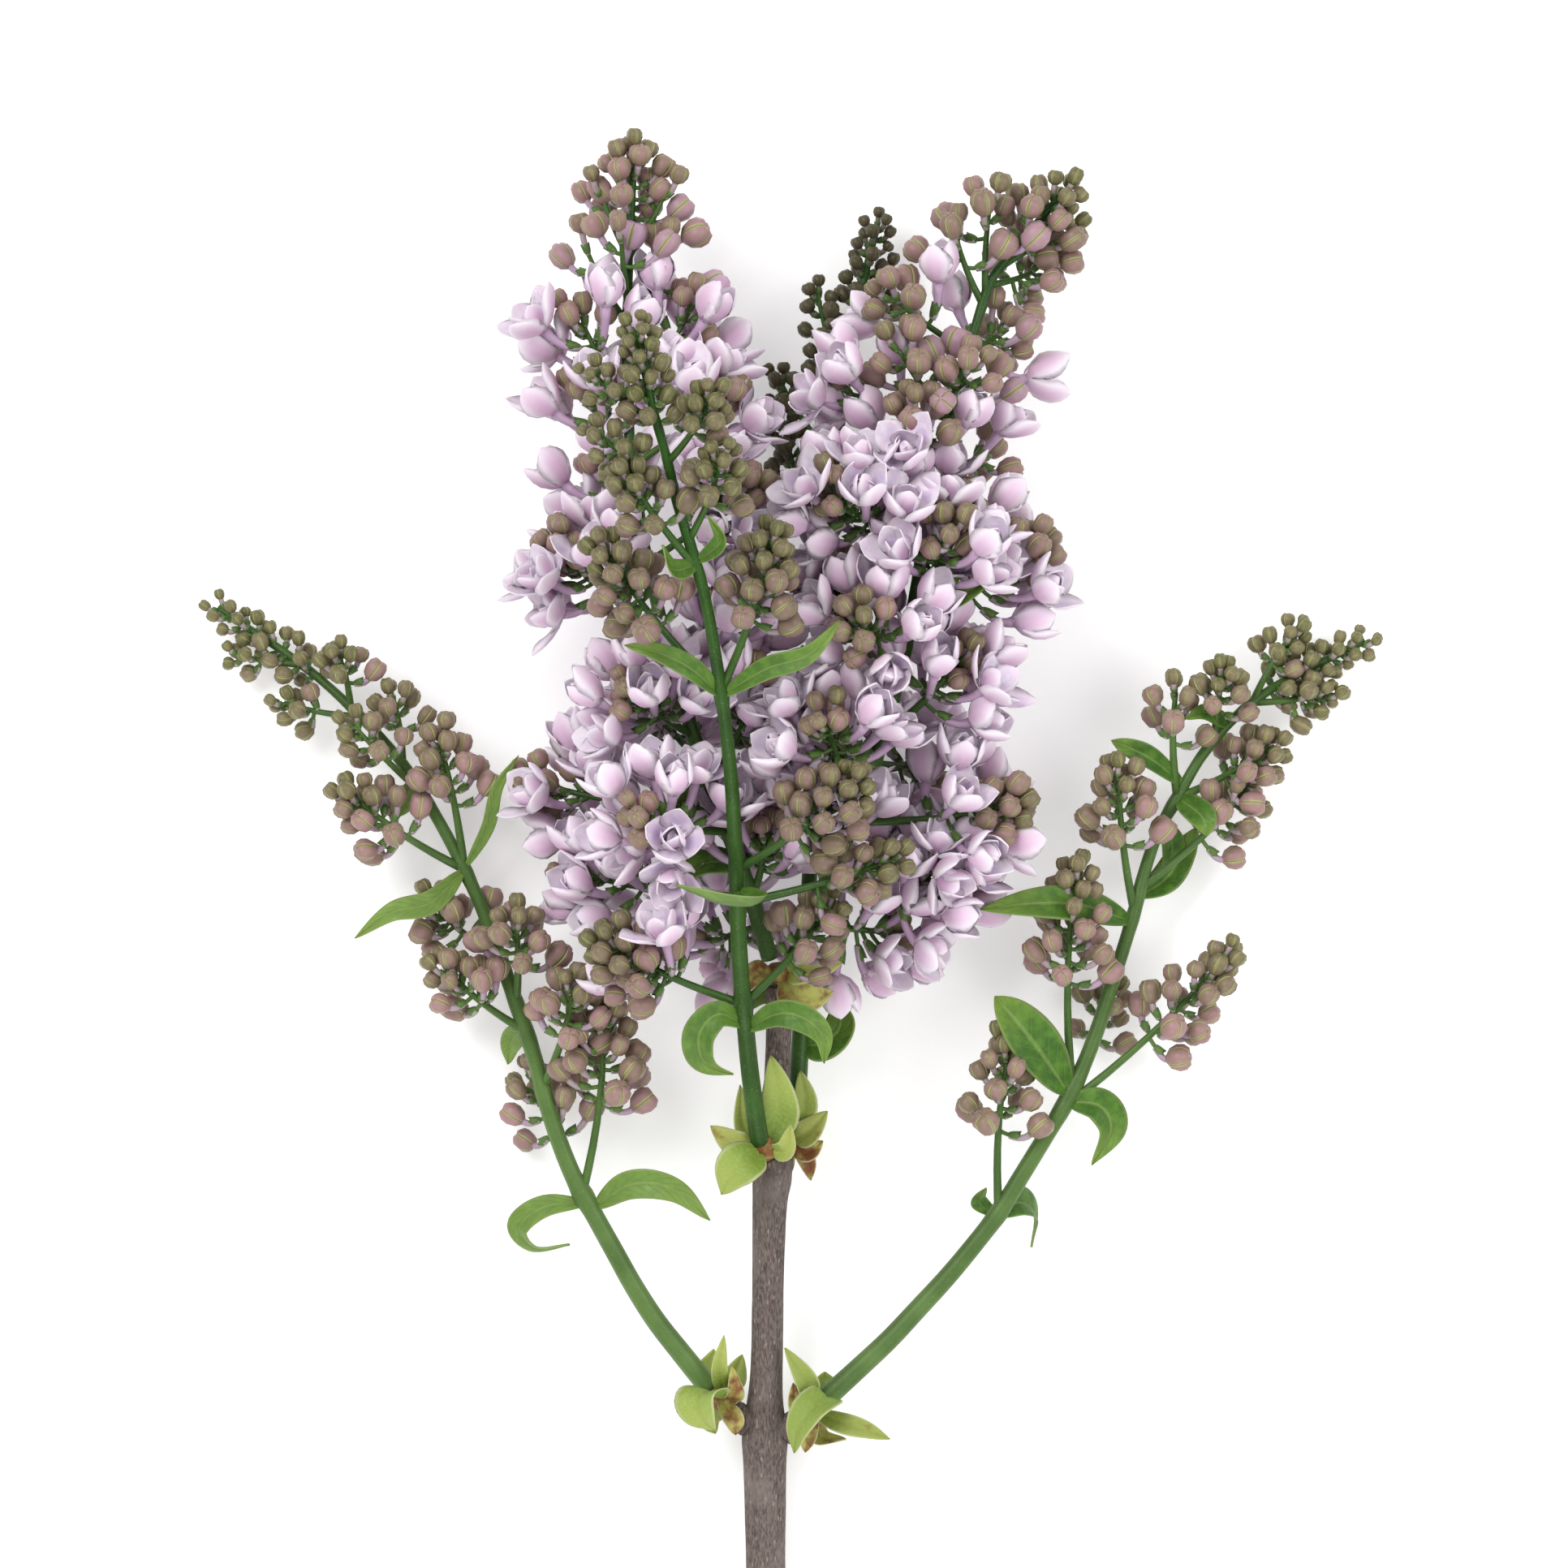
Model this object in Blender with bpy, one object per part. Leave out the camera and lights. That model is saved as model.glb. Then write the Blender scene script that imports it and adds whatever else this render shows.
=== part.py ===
"""A cut lilac stem in bud and bloom, lying on a table.

A woody stem carries bud scales at three levels. Out of them grow six green shoots: one to the left, one to
the right, one at the front, one at the rear, and a pair at the top. Each shoot has small leaves and ends in
a panicle, whose side branches hold the sprays of buds and florets. The stem runs along +Y, +Z is up from the
table, and the stem lies on its cut end and on the undersides of its panicles.

All lengths below are millimetres. The scene is in metres.
"""

import math
import random

import bmesh
import bpy
import numpy as np
from mathutils import Vector
from mathutils.bvhtree import BVHTree

# Driving dimensions
MM = 0.001
ORIGIN = (5.5, 106.6, 0.28)      # where the frame's origin lies in the plan below, mid-way along and across
GAP = 0.32                      # free space at a butt joint between two pieces
CLEARANCE = 0.36                # free space that a floret keeps from every other piece
LEAF_THICKNESS = 1.0
SCALE_THICKNESS = 1.1
STUB_SHARE = 0.4                # part of a side branch that belongs to its green shoot
BRANCH_RADIUS = 0.85
TWIG_RADIUS = 0.7
THROAT_RADIUS = 0.95            # a floret's tube, where it meets the bud
BLOOM_RADIUS = 7.6              # an open floret, centre to petal tip
SOLID_SHARE = 0.17             # of the florets on the real stem, those that are modelled here
BUD_GROWTHS = (1.5, 1.25, 1.0)  # how much larger than life a bud is: the most that leaves its neighbours clear
BLOOM_GROWTHS = (1.3, 1.1, 0.9)
GOLDEN_ANGLE = math.radians(137.5)

# The woody stem: x, y, z and radius, from the cut end up
WOOD = [
    (0.5, -60.0, 4.35, 4.1), (0.2, -30.0, 8.0, 4.1), (0.0, -8.0, 10.8, 4.5), (0.0, -1.0, 11.7, 4.8),
    (0.0, 6.0, 12.6, 3.8), (0.3, 13.0, 13.5, 3.4), (0.6, 30.0, 15.8, 3.3), (1.0, 47.0, 18.0, 3.6),
    (1.6, 54.0, 19.0, 4.1), (2.0, 62.0, 20.0, 3.2), (2.4, 72.0, 21.3, 2.7), (2.9, 84.0, 22.9, 2.7),
    (3.4, 93.5, 24.1, 3.2),
]
CUT_SLANT = 2.6                 # how far the cut face leans along the stem, corner to corner

# Each shoot: its line from the scales to the tip, its radius at both ends, where its tip spray starts, how
# full its sprays are, and its side sprays. A spray is: y where its branch leaves the shoot, its tip, its
# florets on the real stem before that fullness, the diameter of its largest bud, and the share that is open.
SHOOTS = {
    "left": {
        "line": [
            (-12.2, 9.8, 13.4), (-18, 17, 14), (-25, 26, 15), (-35, 44, 16), (-41, 55, 16.5),
            (-45, 66, 16.5), (-49, 81, 16), (-54, 95, 15.5), (-59, 109, 15), (-64, 120, 14.5),
            (-70, 131, 14), (-78, 143, 13), (-88, 153, 12), (-97, 161, 9.5), (-107, 167.5, 7.5),
            (-115, 173, 6),
        ],
        "radii": (2.3, 0.75),
        "tip_from": 123,
        "fullness": 1.3,
        "sprays": [
            (50, (-34, 88, 22), 17, 6.4, 0), (50, (-49, 74, 8), 9, 6.2, 0),
            (72, (-40, 93, 29), 11, 6.2, 0), (84, (-66, 96, 17), 10, 6.0, 0),
            (90, (-52, 106, 25), 9, 6.4, 0), (99, (-69, 110, 11), 9, 6.0, 0),
            (118, (-86, 133, 19), 14, 6.0, 0), (118, (-68, 144, 20), 11, 6.0, 0),
            (134, (-86, 148, 22), 8, 5.2, 0), (140, (-78, 154, 14), 6, 5.2, 0),
            (150, (-101, 153, 11), 6, 4.6, 0), (152, (-89, 162, 16), 7, 4.8, 0),
            (161, (-111, 163, 9), 5, 4.2, 0), (156, (-115, 173, 9), 18, 4.2, 0),
        ],
    },
    "right": {
        "line": [
            (13.4, 7.6, 13.2), (19.2, 12.9, 14), (26.5, 19.8, 15), (37.6, 31.8, 16), (47.6, 43.8, 17),
            (55, 55.8, 17.5), (62.3, 67.8, 17.5), (68.2, 79.8, 17), (73, 95, 16.5), (77, 107, 16),
            (79, 116, 16), (82.5, 126, 15.5), (87, 134, 15), (91, 141, 14.5), (98, 149.5, 12.5),
            (106, 156, 10.5), (115, 160.5, 8.5), (126, 166, 6.5),
        ],
        "radii": (2.3, 0.8),
        "tip_from": 138,
        "fullness": 1.3,
        "sprays": [
            (46, (51, 80, 24), 14, 6.0, 0), (72, (65, 116, 25), 19, 6.0, 0),
            (68, (96, 99, 18), 16, 6.0, 0), (74, (72, 92, 7), 7, 5.6, 0),
            (109, (74, 137, 24), 12, 6.0, 0), (114, (102, 136, 12), 10, 5.8, 0),
            (133, (86, 155, 22), 6, 5.8, 0), (133, (105, 143, 13), 12, 5.6, 0),
            (145, (96, 158, 20), 10, 5.0, 0), (153, (111, 168, 12), 9, 4.4, 0),
            (153, (118, 155, 10), 9, 4.4, 0), (154, (126, 166, 10.5), 19, 4.2, 0),
        ],
    },
    "front": {
        "line": [
            (-1.25, 62.0, 28.8), (-2.4, 70, 32), (-3.4, 78, 34), (-4.3, 88, 38), (-5, 95, 41),
            (-5.6, 107, 46), (-6, 121, 52), (-7, 138, 60), (-8.5, 151, 66), (-11, 168, 74),
            (-13.6, 180, 79), (-17, 190, 82), (-20.4, 204, 86), (-23.8, 216, 89), (-26, 229, 91),
        ],
        "radii": (2.0, 0.8),
        "tip_from": 184,
        "fullness": 1.7,
        "sprays": [
            (90, (-31, 102, 45), 15, 6.6, 0.1), (90, (12, 109, 45), 9, 6.2, 0),
            (118, (17, 135, 61), 17, 6.2, 0), (111, (26, 120, 53), 9, 6.2, 0),
            (155, (-32, 183, 78), 14, 6.2, 0), (155, (1, 185, 78), 14, 6.0, 0),
            (180, (-28, 199, 88), 10, 5.4, 0), (186, (-9, 203, 92), 8, 5.2, 0),
            (196, (-34, 208, 88), 6, 4.8, 0), (202, (-11, 215, 94), 8, 4.8, 0),
            (210, (-35, 220, 90), 6, 4.6, 0), (208, (-26, 229, 91), 16, 4.6, 0),
        ],
    },
    "rear": {
        "line": [
            (5.75, 64.15, 12.3), (6.8, 72, 11.9), (7.6, 85, 11.5), (8.5, 100, 10.6), (9.5, 120, 10),
            (10.5, 140, 10), (11.5, 160, 10), (12.5, 180, 10), (14, 200, 10.5), (17, 220, 11),
            (20, 239, 11), (23.5, 253, 10.5),
        ],
        "radii": (2.0, 0.75),
        "tip_from": 122,
        "fullness": 1.5,
        "sprays": [
            (130, (-5, 152, 8), 7, 5.0, 0), (140, (25, 162, 8), 7, 5.0, 0),
            (186, (4, 210, 9), 10, 4.8, 0), (186, (26, 207, 8), 9, 4.8, 0),
            (204, (3, 221, 10), 7, 4.6, 0), (212, (13, 229, 17), 6, 4.4, 0),
            (220, (11, 239, 10), 6, 4.2, 0), (228, (26, 243, 8), 5, 4.0, 0),
            (234, (23.5, 253, 10.5), 13, 4.0, 0),
        ],
    },
    "top_left": {
        "line": [
            (1.0, 99.4, 25.4), (-2, 110, 29), (-8, 127, 34), (-14, 143, 37), (-20, 163, 39), (-25, 184, 39),
            (-28, 204, 37), (-29, 224, 33), (-28.5, 243, 30), (-27.5, 266, 28),
        ],
        "radii": (1.8, 0.8),
        "tip_from": 164,
        "fullness": 1.45,
        "sprays": [
            (106, (-10, 103, 17), 8, 7.0, 0.8), (112, (-38, 117, 24), 11, 7.0, 0.7),
            (130, (-47, 136, 22), 12, 7.2, 0.45), (126, (-25, 129, 56), 12, 7.0, 0.7),
            (146, (-26, 154, 48), 12, 7.2, 0.65), (140, (-22, 150, 9), 8, 7.0, 0.8),
            (112, (0, 124, 34), 9, 7.2, 0.6), (136, (-2, 156, 44), 9, 7.2, 0.65),
            (152, (-6, 174, 46), 10, 7.2, 0.6), (166, (-41, 184, 42), 13, 7.2, 0.55),
            (182, (-6, 196, 50), 12, 7.2, 0.6), (184, (-33, 202, 27), 8, 7.2, 0.45),
            (201, (-36, 216, 36), 7, 7.2, 0.5), (202, (-11, 216, 41), 8, 7.2, 0.6),
            (216, (-16, 234, 34), 7, 7.2, 0.5), (216, (-38, 232, 34), 7, 7.2, 0.5),
            (232, (-37, 247, 30), 2, 7.6, 0), (232, (-20, 247, 32), 2, 7.6, 0),
            (236, (-30, 250, 38), 2, 7.4, 0), (246, (-34, 259, 27), 2, 6.8, 0),
            (246, (-21, 259, 30), 2, 6.8, 0), (253, (-27.5, 266, 28), 11, 6.4, 0),
        ],
    },
    "top_right": {
        "line": [
            (6.0, 99.4, 25.0), (10, 109, 28), (16, 122, 32), (22, 138, 36), (26, 150, 38), (30, 168, 40),
            (33, 185, 40), (36, 202, 38), (41, 222, 35), (47, 241, 32), (55, 251, 30), (62, 259, 28),
        ],
        "radii": (1.8, 0.8),
        "tip_from": 162,
        "fullness": 1.45,
        "sprays": [
            (107, (25, 105, 24), 10, 7.0, 0.8), (114, (41, 117, 28), 13, 7.0, 0.7),
            (128, (49, 131, 36), 14, 7.2, 0.45), (132, (13, 149, 60), 12, 7.0, 0.65),
            (146, (40, 161, 44), 11, 7.0, 0.6), (140, (33, 139, 8), 10, 7.0, 0.7),
            (118, (12, 131, 38), 9, 7.2, 0.6), (134, (12, 150, 34), 9, 7.2, 0.65),
            (152, (14, 178, 40), 10, 7.2, 0.6), (164, (20, 169, 62), 12, 7.0, 0.5),
            (166, (54, 185, 40), 12, 7.4, 0.4), (172, (38, 188, 58), 10, 7.2, 0.5),
            (182, (15, 196, 57), 14, 7.2, 0.65), (186, (39, 191, 44), 7, 7.2, 0.45),
            (198, (31, 212, 50), 8, 7.2, 0.25), (212, (18, 217, 42), 4, 7.2, 0.8),
            (212, (28, 226, 46), 5, 7.2, 0), (202, (45, 204, 32), 5, 7.2, 0.5),
            (213, (42, 222, 49), 6, 7.2, 0), (226, (27, 237, 36), 5, 7.2, 0.3),
            (226, (49, 230, 28), 7, 7.0, 0.2), (236, (40, 250, 34), 3, 7.0, 0),
            (238, (47, 257, 34), 4, 6.8, 0), (240, (56, 243, 26), 6, 6.4, 0),
            (244, (62, 253, 26), 6, 5.8, 0), (248, (62, 259, 28), 11, 5.6, 0),
        ],
    },
}

# The leaves of each shoot: the line of the midrib from the shoot to the leaf's tip, and half the width
LEAVES = {
    "left": [
        ([(-36, 47, 16), (-28, 52, 21), (-19, 51, 23), (-11.5, 44.5, 21)], 3.0),
        ([(-37, 48, 16), (-46, 47.3, 16), (-51.5, 43, 14), (-48.3, 38.6, 12), (-41, 39.2, 11)], 2.6),
        ([(-63, 118, 15), (-70, 111, 20), (-78, 109, 21), (-86, 103.5, 18)], 2.5),
        ([(-63, 118, 15), (-58, 127, 19), (-56, 135, 22), (-51.5, 142, 23)], 1.4),
        ([(-50, 85, 16), (-53, 82, 11), (-54, 77, 8)], 2.5),
    ],
    "right": [
        ([(48.6, 45.3, 17), (53, 48, 13), (56.5, 45.5, 9), (56, 38.5, 7)], 3.4),
        ([(48.4, 45.3, 17), (45, 48, 13), (46.5, 51, 10)], 1.8),
        ([(63.8, 70.8, 17.5), (57.5, 80, 24), (52, 87, 27), (48, 91.5, 27)], 5.0),
        ([(63.2, 69.3, 17.5), (70, 68.5, 19), (72.5, 63.5, 18), (68.5, 56, 15)], 3.6),
        ([(77, 107, 16), (66, 110.5, 25), (56, 111, 29), (45, 109.7, 31)], 3.6),
        ([(78, 112, 16), (84, 116, 10), (88, 122, 9), (91, 127, 10)], 3.2),
        ([(88, 135.5, 15), (81, 141, 20), (76, 143.5, 22), (72.5, 145, 21)], 2.3),
        ([(86.5, 133, 15), (91.5, 129, 21), (92.5, 125, 22)], 3.0),
        ([(83.5, 128, 15.3), (85.5, 122, 10), (82.5, 115, 8)], 2.6),
    ],
    "front": [
        ([
            (-4.2, 85.5, 37), (-9.5, 88, 42), (-13.4, 84.5, 42), (-13.6, 80, 40), (-11.4, 77, 38),
            (-6.6, 75.4, 36),
        ], 3.3),
        ([(-4.1, 84.5, 36.6), (2.5, 88, 43), (8, 87.2, 45), (12, 83.5, 43), (12.3, 77.7, 41)], 2.9),
        ([(-5.8, 114, 49), (-2, 111, 58), (-9, 111.5, 61), (-18.5, 115, 59)], 3.2),
        ([(-9, 154, 67.4), (-15, 159.5, 73), (-22, 163, 75), (-29, 164.5, 75)], 2.3),
        ([(-9, 154, 67.4), (0, 159.5, 73), (9, 162.5, 76), (15.5, 169.5, 77)], 2.3),
        ([(-14, 181, 79.3), (-19, 180, 84), (-21, 185, 87)], 2.2),
        ([(-14, 181.5, 79.4), (-9, 186, 84), (-11.5, 191, 86)], 1.7),
    ],
    "rear": [
        ([(7.4, 81, 11.6), (12, 81.6, 13), (15.6, 85, 13), (15, 91, 10)], 4.2),
        ([(7.8, 88, 11.3), (1, 92, 9), (-4, 88, 7)], 3.0),
    ],
    "top_left": [
        ([(-5, 118.5, 31.5), (-12, 119.5, 27), (-20.5, 114, 25)], 3.0),
        ([(-11, 135, 35.5), (-15, 133, 30), (-20, 128, 29)], 2.4),
    ],
    "top_right": [
        ([(23, 141, 36.7), (20, 142, 46), (14, 145, 50)], 2.6),
    ],
}

# The bud scales: where each group's core starts and ends, the core's radius, and the scales round it. A
# scale is the line of its midrib out from the core, and half its width
SCALES = {
    "left": {
        "core": ((-7.0, 5.1, 12.8), (-11.9, 9.55, 13.35)),
        "radius": 2.5,
        "blades": [
            ([(-11.8, 8.4, 19.4), (-13.9, 7, 21.8), (-13, 3.2, 21.4), (-10.5, 0.6, 19.5)], 5.0),
            ([(-9.6, 13, 18.6), (-8.6, 20.4, 19)], 1.7),
            ([(-11.6, 12.4, 8.5), (-10.8, 17.2, 9)], 2.9),
            ([(-6.6, 11, 8), (-4.8, 16, 7.5)], 2.6),
            ([(-6.4, 8, 17.6), (-6.9, 13.8, 19.5)], 2.0),
            ([(-6.6, 2.6, 17), (-6.2, -0.6, 16)], 2.1),
            ([(-11.6, 2.4, 10.5), (-10.4, -0.6, 10)], 2.2),
        ],
    },
    "right": {
        "core": ((7.2, 2.9, 12.5), (13.1, 7.35, 13.15)),
        "radius": 2.6,
        "blades": [
            ([(13, 7.4, 19.6), (9.6, 5.2, 22.5), (7, 0.8, 22.5), (6.2, -4.2, 20.5)], 3.6),
            ([(8.6, 10.5, 18.6), (4.1, 17.8, 19)], 2.4),
            ([(12.2, 9.4, 8.2), (12.6, 12.4, 8)], 2.9),
            ([(6.6, 5.6, 17.6), (5.9, 10.4, 17.6)], 1.8),
            ([(15.5, 2.0, 17.2), (21, 0.5, 18.2), (26.2, -1.5, 16.6)], 2.2),
            ([(11.5, -1.4, 11), (17, -1.6, 13)], 2.1),
            ([(9, -1.4, 14), (8.4, -4.4, 14)], 1.6),
        ],
    },
    "front": {
        "core": ((0.7, 58.2, 26.0), (-1.1, 61.7, 28.55)),
        "radius": 2.3,
        "blades": [
            ([(-4.2, 57.1, 33.2), (-6.8, 54.6, 33.4), (-9, 50.2, 30.5)], 4.5),
            ([(-6, 60.4, 28), (-11.4, 64.4, 27)], 2.9),
            ([(2.9, 66, 26.6), (2.6, 72, 28), (1.2, 79.2, 29.5)], 3.9),
            ([(4.2, 59.6, 29.5), (5.4, 64.8, 31)], 2.1),
            ([(-4.6, 64.6, 26), (-5.2, 73, 27.6)], 2.1),
        ],
    },
    "rear": {
        "core": ((4.2, 59.4, 13.4), (5.6, 63.7, 12.4)),
        "radius": 2.3,
        "blades": [
            ([(9, 63, 15.5), (13.1, 67.3, 16)], 2.8),
            ([(8.8, 58.6, 14), (12.2, 61, 14)], 2.3),
            ([(8.2, 68.4, 15.5), (7.4, 75.8, 16)], 2.7),
            ([(8.6, 57, 11.6), (9.6, 52.6, 11)], 1.9),
            ([(3.2, 55.5, 8.6), (2, 50, 8)], 2.6),
            ([(0.5, 66, 8.8), (-2, 71, 8)], 2.0),
        ],
    },
    "top": {
        "core": ((3.45, 94.7, 24.25), (3.5, 98.2, 24.9)),
        "radius": 3.3,
        "blades": [
            ([(6.5, 97.2, 29.6), (11, 97.8, 31), (16, 98.5, 29.6)], 3.4),
            ([(5.8, 92.2, 29.8), (9.6, 91.2, 30.8), (14.2, 92.6, 29.4)], 3.4),
            ([(-2, 96, 30), (-5, 92, 30)], 2.6),
            ([(4, 97.4, 18), (3.5, 93, 15)], 2.8),
        ],
    },
}

# Colour, roughness
FINISHES = {
    "bark": ((0.20, 0.16, 0.145), 0.85),
    "bud_scale": ((0.42, 0.50, 0.16), 0.6),
    "green_shoot": ((0.10, 0.24, 0.06), 0.5),
    "bud": ((0.42, 0.28, 0.27), 0.5),
    "bloom": ((0.66, 0.52, 0.74), 0.55),
}
BLOOM_SHOOTS = ("top_left", "top_right")


def clear_scene():
    """Removes every object, and the meshes, curves and collections that nothing uses after that."""
    for item in list(bpy.data.objects):
        bpy.data.objects.remove(item)
    for collection in list(bpy.data.collections):
        bpy.data.collections.remove(collection)


def finish_material(slot):
    """One plain material for each kind of surface, made the first time it is asked for."""
    if slot in bpy.data.materials:
        return bpy.data.materials[slot]
    colour, roughness = FINISHES[slot]
    material = bpy.data.materials.new(slot)
    material.use_nodes = True
    shader = material.node_tree.nodes["Principled BSDF"]
    shader.inputs["Base Color"].default_value = (*colour, 1.0)
    shader.inputs["Roughness"].default_value = roughness
    shader.inputs["Metallic"].default_value = 0.0
    return material


def unit(vector):
    return vector / np.linalg.norm(vector)


def point_at(line, share):
    """The point that lies this share of the way along a line of points, by its length."""
    steps = np.linalg.norm(np.diff(line, axis=0), axis=1)
    reached = np.concatenate([[0.0], np.cumsum(steps)])
    where = share * reached[-1]
    return np.array([np.interp(where, reached, line[:, axis]) for axis in range(3)])


def share_at_y(line, y):
    """How far along a shoot's line it crosses this y."""
    steps = np.linalg.norm(np.diff(line, axis=0), axis=1)
    reached = np.concatenate([[0.0], np.cumsum(steps)])
    return float(np.interp(y, line[:, 1], reached) / reached[-1])


def stretch(line, start, end, points):
    """Part of a line, from one share of its length to another, as evenly spaced points."""
    return np.array([point_at(line, share) for share in np.linspace(start, end, points)])


def side_frame(heading):
    """Two directions square to a heading and to each other."""
    aside = np.array([0.0, 0.0, 1.0]) if abs(heading[2]) < 0.8 else np.array([1.0, 0.0, 0.0])
    across = unit(np.cross(heading, aside))
    return across, np.cross(heading, across)


def branch_line(shoot_line, leave_y, tip):
    """A side branch leaves its shoot outwards and bends up along it: one quadratic curve, as six points."""
    start = point_at(shoot_line, share_at_y(shoot_line, leave_y))
    ahead = point_at(shoot_line, share_at_y(shoot_line, leave_y + 4.0))
    along = unit(ahead - start)
    reach = tip - start
    outward = reach - along * float(reach @ along)
    middle = start + 0.5 * reach + 0.16 * outward
    share = np.linspace(0.0, 1.0, 6)[:, None]
    return (1 - share) ** 2 * start + 2 * share * (1 - share) * middle + share**2 * tip


def spray_florets(line, first_share, count, bud, open_share, seed):
    """Florets stand round the outer part of a branch, each a golden angle on from the last, wide apart at
    the inner end and forward at the tip. Buds get smaller towards the tip. The inner ones open first, and
    an open one turns up along the stem."""
    draw = random.Random(seed)
    florets = []
    for index in range(count):
        share = (index + 0.5) / count
        place = first_share + (1.0 - first_share) * share
        root = point_at(line, place)
        forward = unit(point_at(line, min(place + 0.02, 1.0)) - point_at(line, place - 0.02))
        across, above = side_frame(forward)
        turn = GOLDEN_ANGLE * index + draw.uniform(-0.4, 0.4)
        splay = math.radians(76.0 - 58.0 * share**1.4 + draw.uniform(-9.0, 9.0))
        outward = math.cos(turn) * across + math.sin(turn) * above
        heading = math.cos(splay) * forward + math.sin(splay) * outward
        size = bud * (1.0 - 0.36 * share) * draw.uniform(0.94, 1.06)
        is_open = share < open_share
        reach = 12.6 - 2.6 * share if is_open else 1.8 + 0.19 * size**2
        if is_open:
            heading = heading * [1.0, 1.0, 0.5] + [0.0, 0.4, 0.0]
        heading = unit(heading * [1.0, 1.0, 0.8])
        florets.append({
            "root": root,
            "head": root + heading * reach,
            "radius": 4.7 if is_open else size / 2,
            "reach": reach,
            "open": is_open,
            "flare": draw.uniform(0.25, 1.0),
            "turn": draw.uniform(0.0, math.tau),
        })
    return florets


def plan_sprays():
    """Every spray of the stem, with its branch and its florets."""
    sprays = []
    for number, (shoot, plan) in enumerate(SHOOTS.items()):
        shoot_line = np.array(plan["line"], float)
        for index, (leave_y, tip, count, bud, open_share) in enumerate(plan["sprays"]):
            is_last = index == len(plan["sprays"]) - 1
            if is_last:
                line = stretch(shoot_line, share_at_y(shoot_line, leave_y), 1.0, 5)
            else:
                line = branch_line(shoot_line, leave_y, np.array(tip, float))
            first_share = 0.1 if is_last else 0.5
            florets = round(count * plan["fullness"])
            sprays.append({
                "shoot": shoot,
                "number": index + 1,
                "at_tip": leave_y >= plan["tip_from"],
                "is_last": is_last,
                "line": line,
                "florets": spray_florets(line, first_share, florets, bud, open_share, 100 * number + index),
            })
    return sprays


def settle(sprays):
    """Moves the heads of the florets until they stand clear of each other, of the stems and of the table.

    Heads are balls. Each round pushes apart the pairs that are too close, and draws every head a little way
    back to its own place. A head keeps within a fifth of its own distance from its root."""
    florets = [floret for spray in sprays for floret in spray["florets"]]
    heads = np.array([floret["head"] for floret in florets])
    roots = np.array([floret["root"] for floret in florets])
    radii = np.array([floret["radius"] for floret in florets])
    reaches = np.array([floret["reach"] for floret in florets])
    homes = heads.copy()
    rods = [stretch(np.array(plan["line"], float), 0.0, 1.0, 60) for plan in SHOOTS.values()]
    rods.append(stretch(np.array(WOOD)[:, :3], 0.0, 1.0, 60))
    rod_radii = [np.full(60, 1.7)] * len(SHOOTS) + [np.full(60, 3.6)]
    for leaves in LEAVES.values():
        for midrib, half_width in leaves:
            rods.append(stretch(np.array(midrib, float), 0.25, 1.0, 7))
            rod_radii.append(np.full(7, 0.6 * half_width))
    rods, rod_radii = np.concatenate(rods), np.concatenate(rod_radii)
    for _ in range(45):
        apart = heads[:, None] - heads[None]
        distance = np.linalg.norm(apart, axis=2) + 1000.0 * np.eye(len(heads))
        short = np.clip(radii[:, None] + radii[None] + 0.3 - distance, 0.0, None)
        push = (apart * (0.38 * short / distance)[..., None]).sum(axis=1)
        apart = heads[:, None] - rods[None]
        distance = np.linalg.norm(apart, axis=2)
        short = np.clip(radii[:, None] + rod_radii[None] + 0.3 - distance, 0.0, None)
        push += (apart * (0.3 * short / distance)[..., None]).sum(axis=1)
        heads = heads + push + 0.06 * (homes - heads)
        heads[:, 2] = np.maximum(heads[:, 2], 1.3 * radii + 0.4)
        stem = heads - roots
        length = np.linalg.norm(stem, axis=1)
        heads = roots + stem * (np.clip(length, 0.8 * reaches, 1.2 * reaches) / length)[:, None]
    for floret, head in zip(florets, heads):
        floret["head"] = head


def mesh_object(name, points, faces):
    """A closed mesh from points in millimetres, with its faces turned outwards."""
    mesh = bpy.data.meshes.new(name)
    built = bmesh.new()
    corners = [built.verts.new(Vector(point) * MM) for point in points]
    for face in faces:
        built.faces.new([corners[index] for index in face])
    bmesh.ops.recalc_face_normals(built, faces=built.faces)
    built.to_mesh(mesh)
    built.free()
    return bpy.data.objects.new(name, mesh)


def tube(name, line, radii, sides=4):
    """A stem: a curve through the points with a round bevel and filled caps, made a mesh with welded caps."""
    curve = bpy.data.curves.new(name, "CURVE")
    curve.dimensions = "3D"
    curve.bevel_depth = MM
    curve.bevel_resolution = (sides - 4) // 2
    curve.use_fill_caps = True
    spline = curve.splines.new("POLY")
    spline.points.add(len(line) - 1)
    for point, place, radius in zip(spline.points, line, radii):
        point.co = (*(Vector(place) * MM), 1.0)
        point.radius = radius
    guide = bpy.data.objects.new(name, curve)
    bpy.context.scene.collection.objects.link(guide)
    bpy.context.view_layer.update()
    evaluated = guide.evaluated_get(bpy.context.evaluated_depsgraph_get())
    mesh = bpy.data.meshes.new_from_object(evaluated)
    bpy.data.objects.remove(guide)
    built = bmesh.new()
    built.from_mesh(mesh)
    bmesh.ops.remove_doubles(built, verts=built.verts, dist=0.00001)
    bmesh.ops.recalc_face_normals(built, faces=built.faces)
    built.to_mesh(mesh)
    built.free()
    return bpy.data.objects.new(name, mesh)


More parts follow.
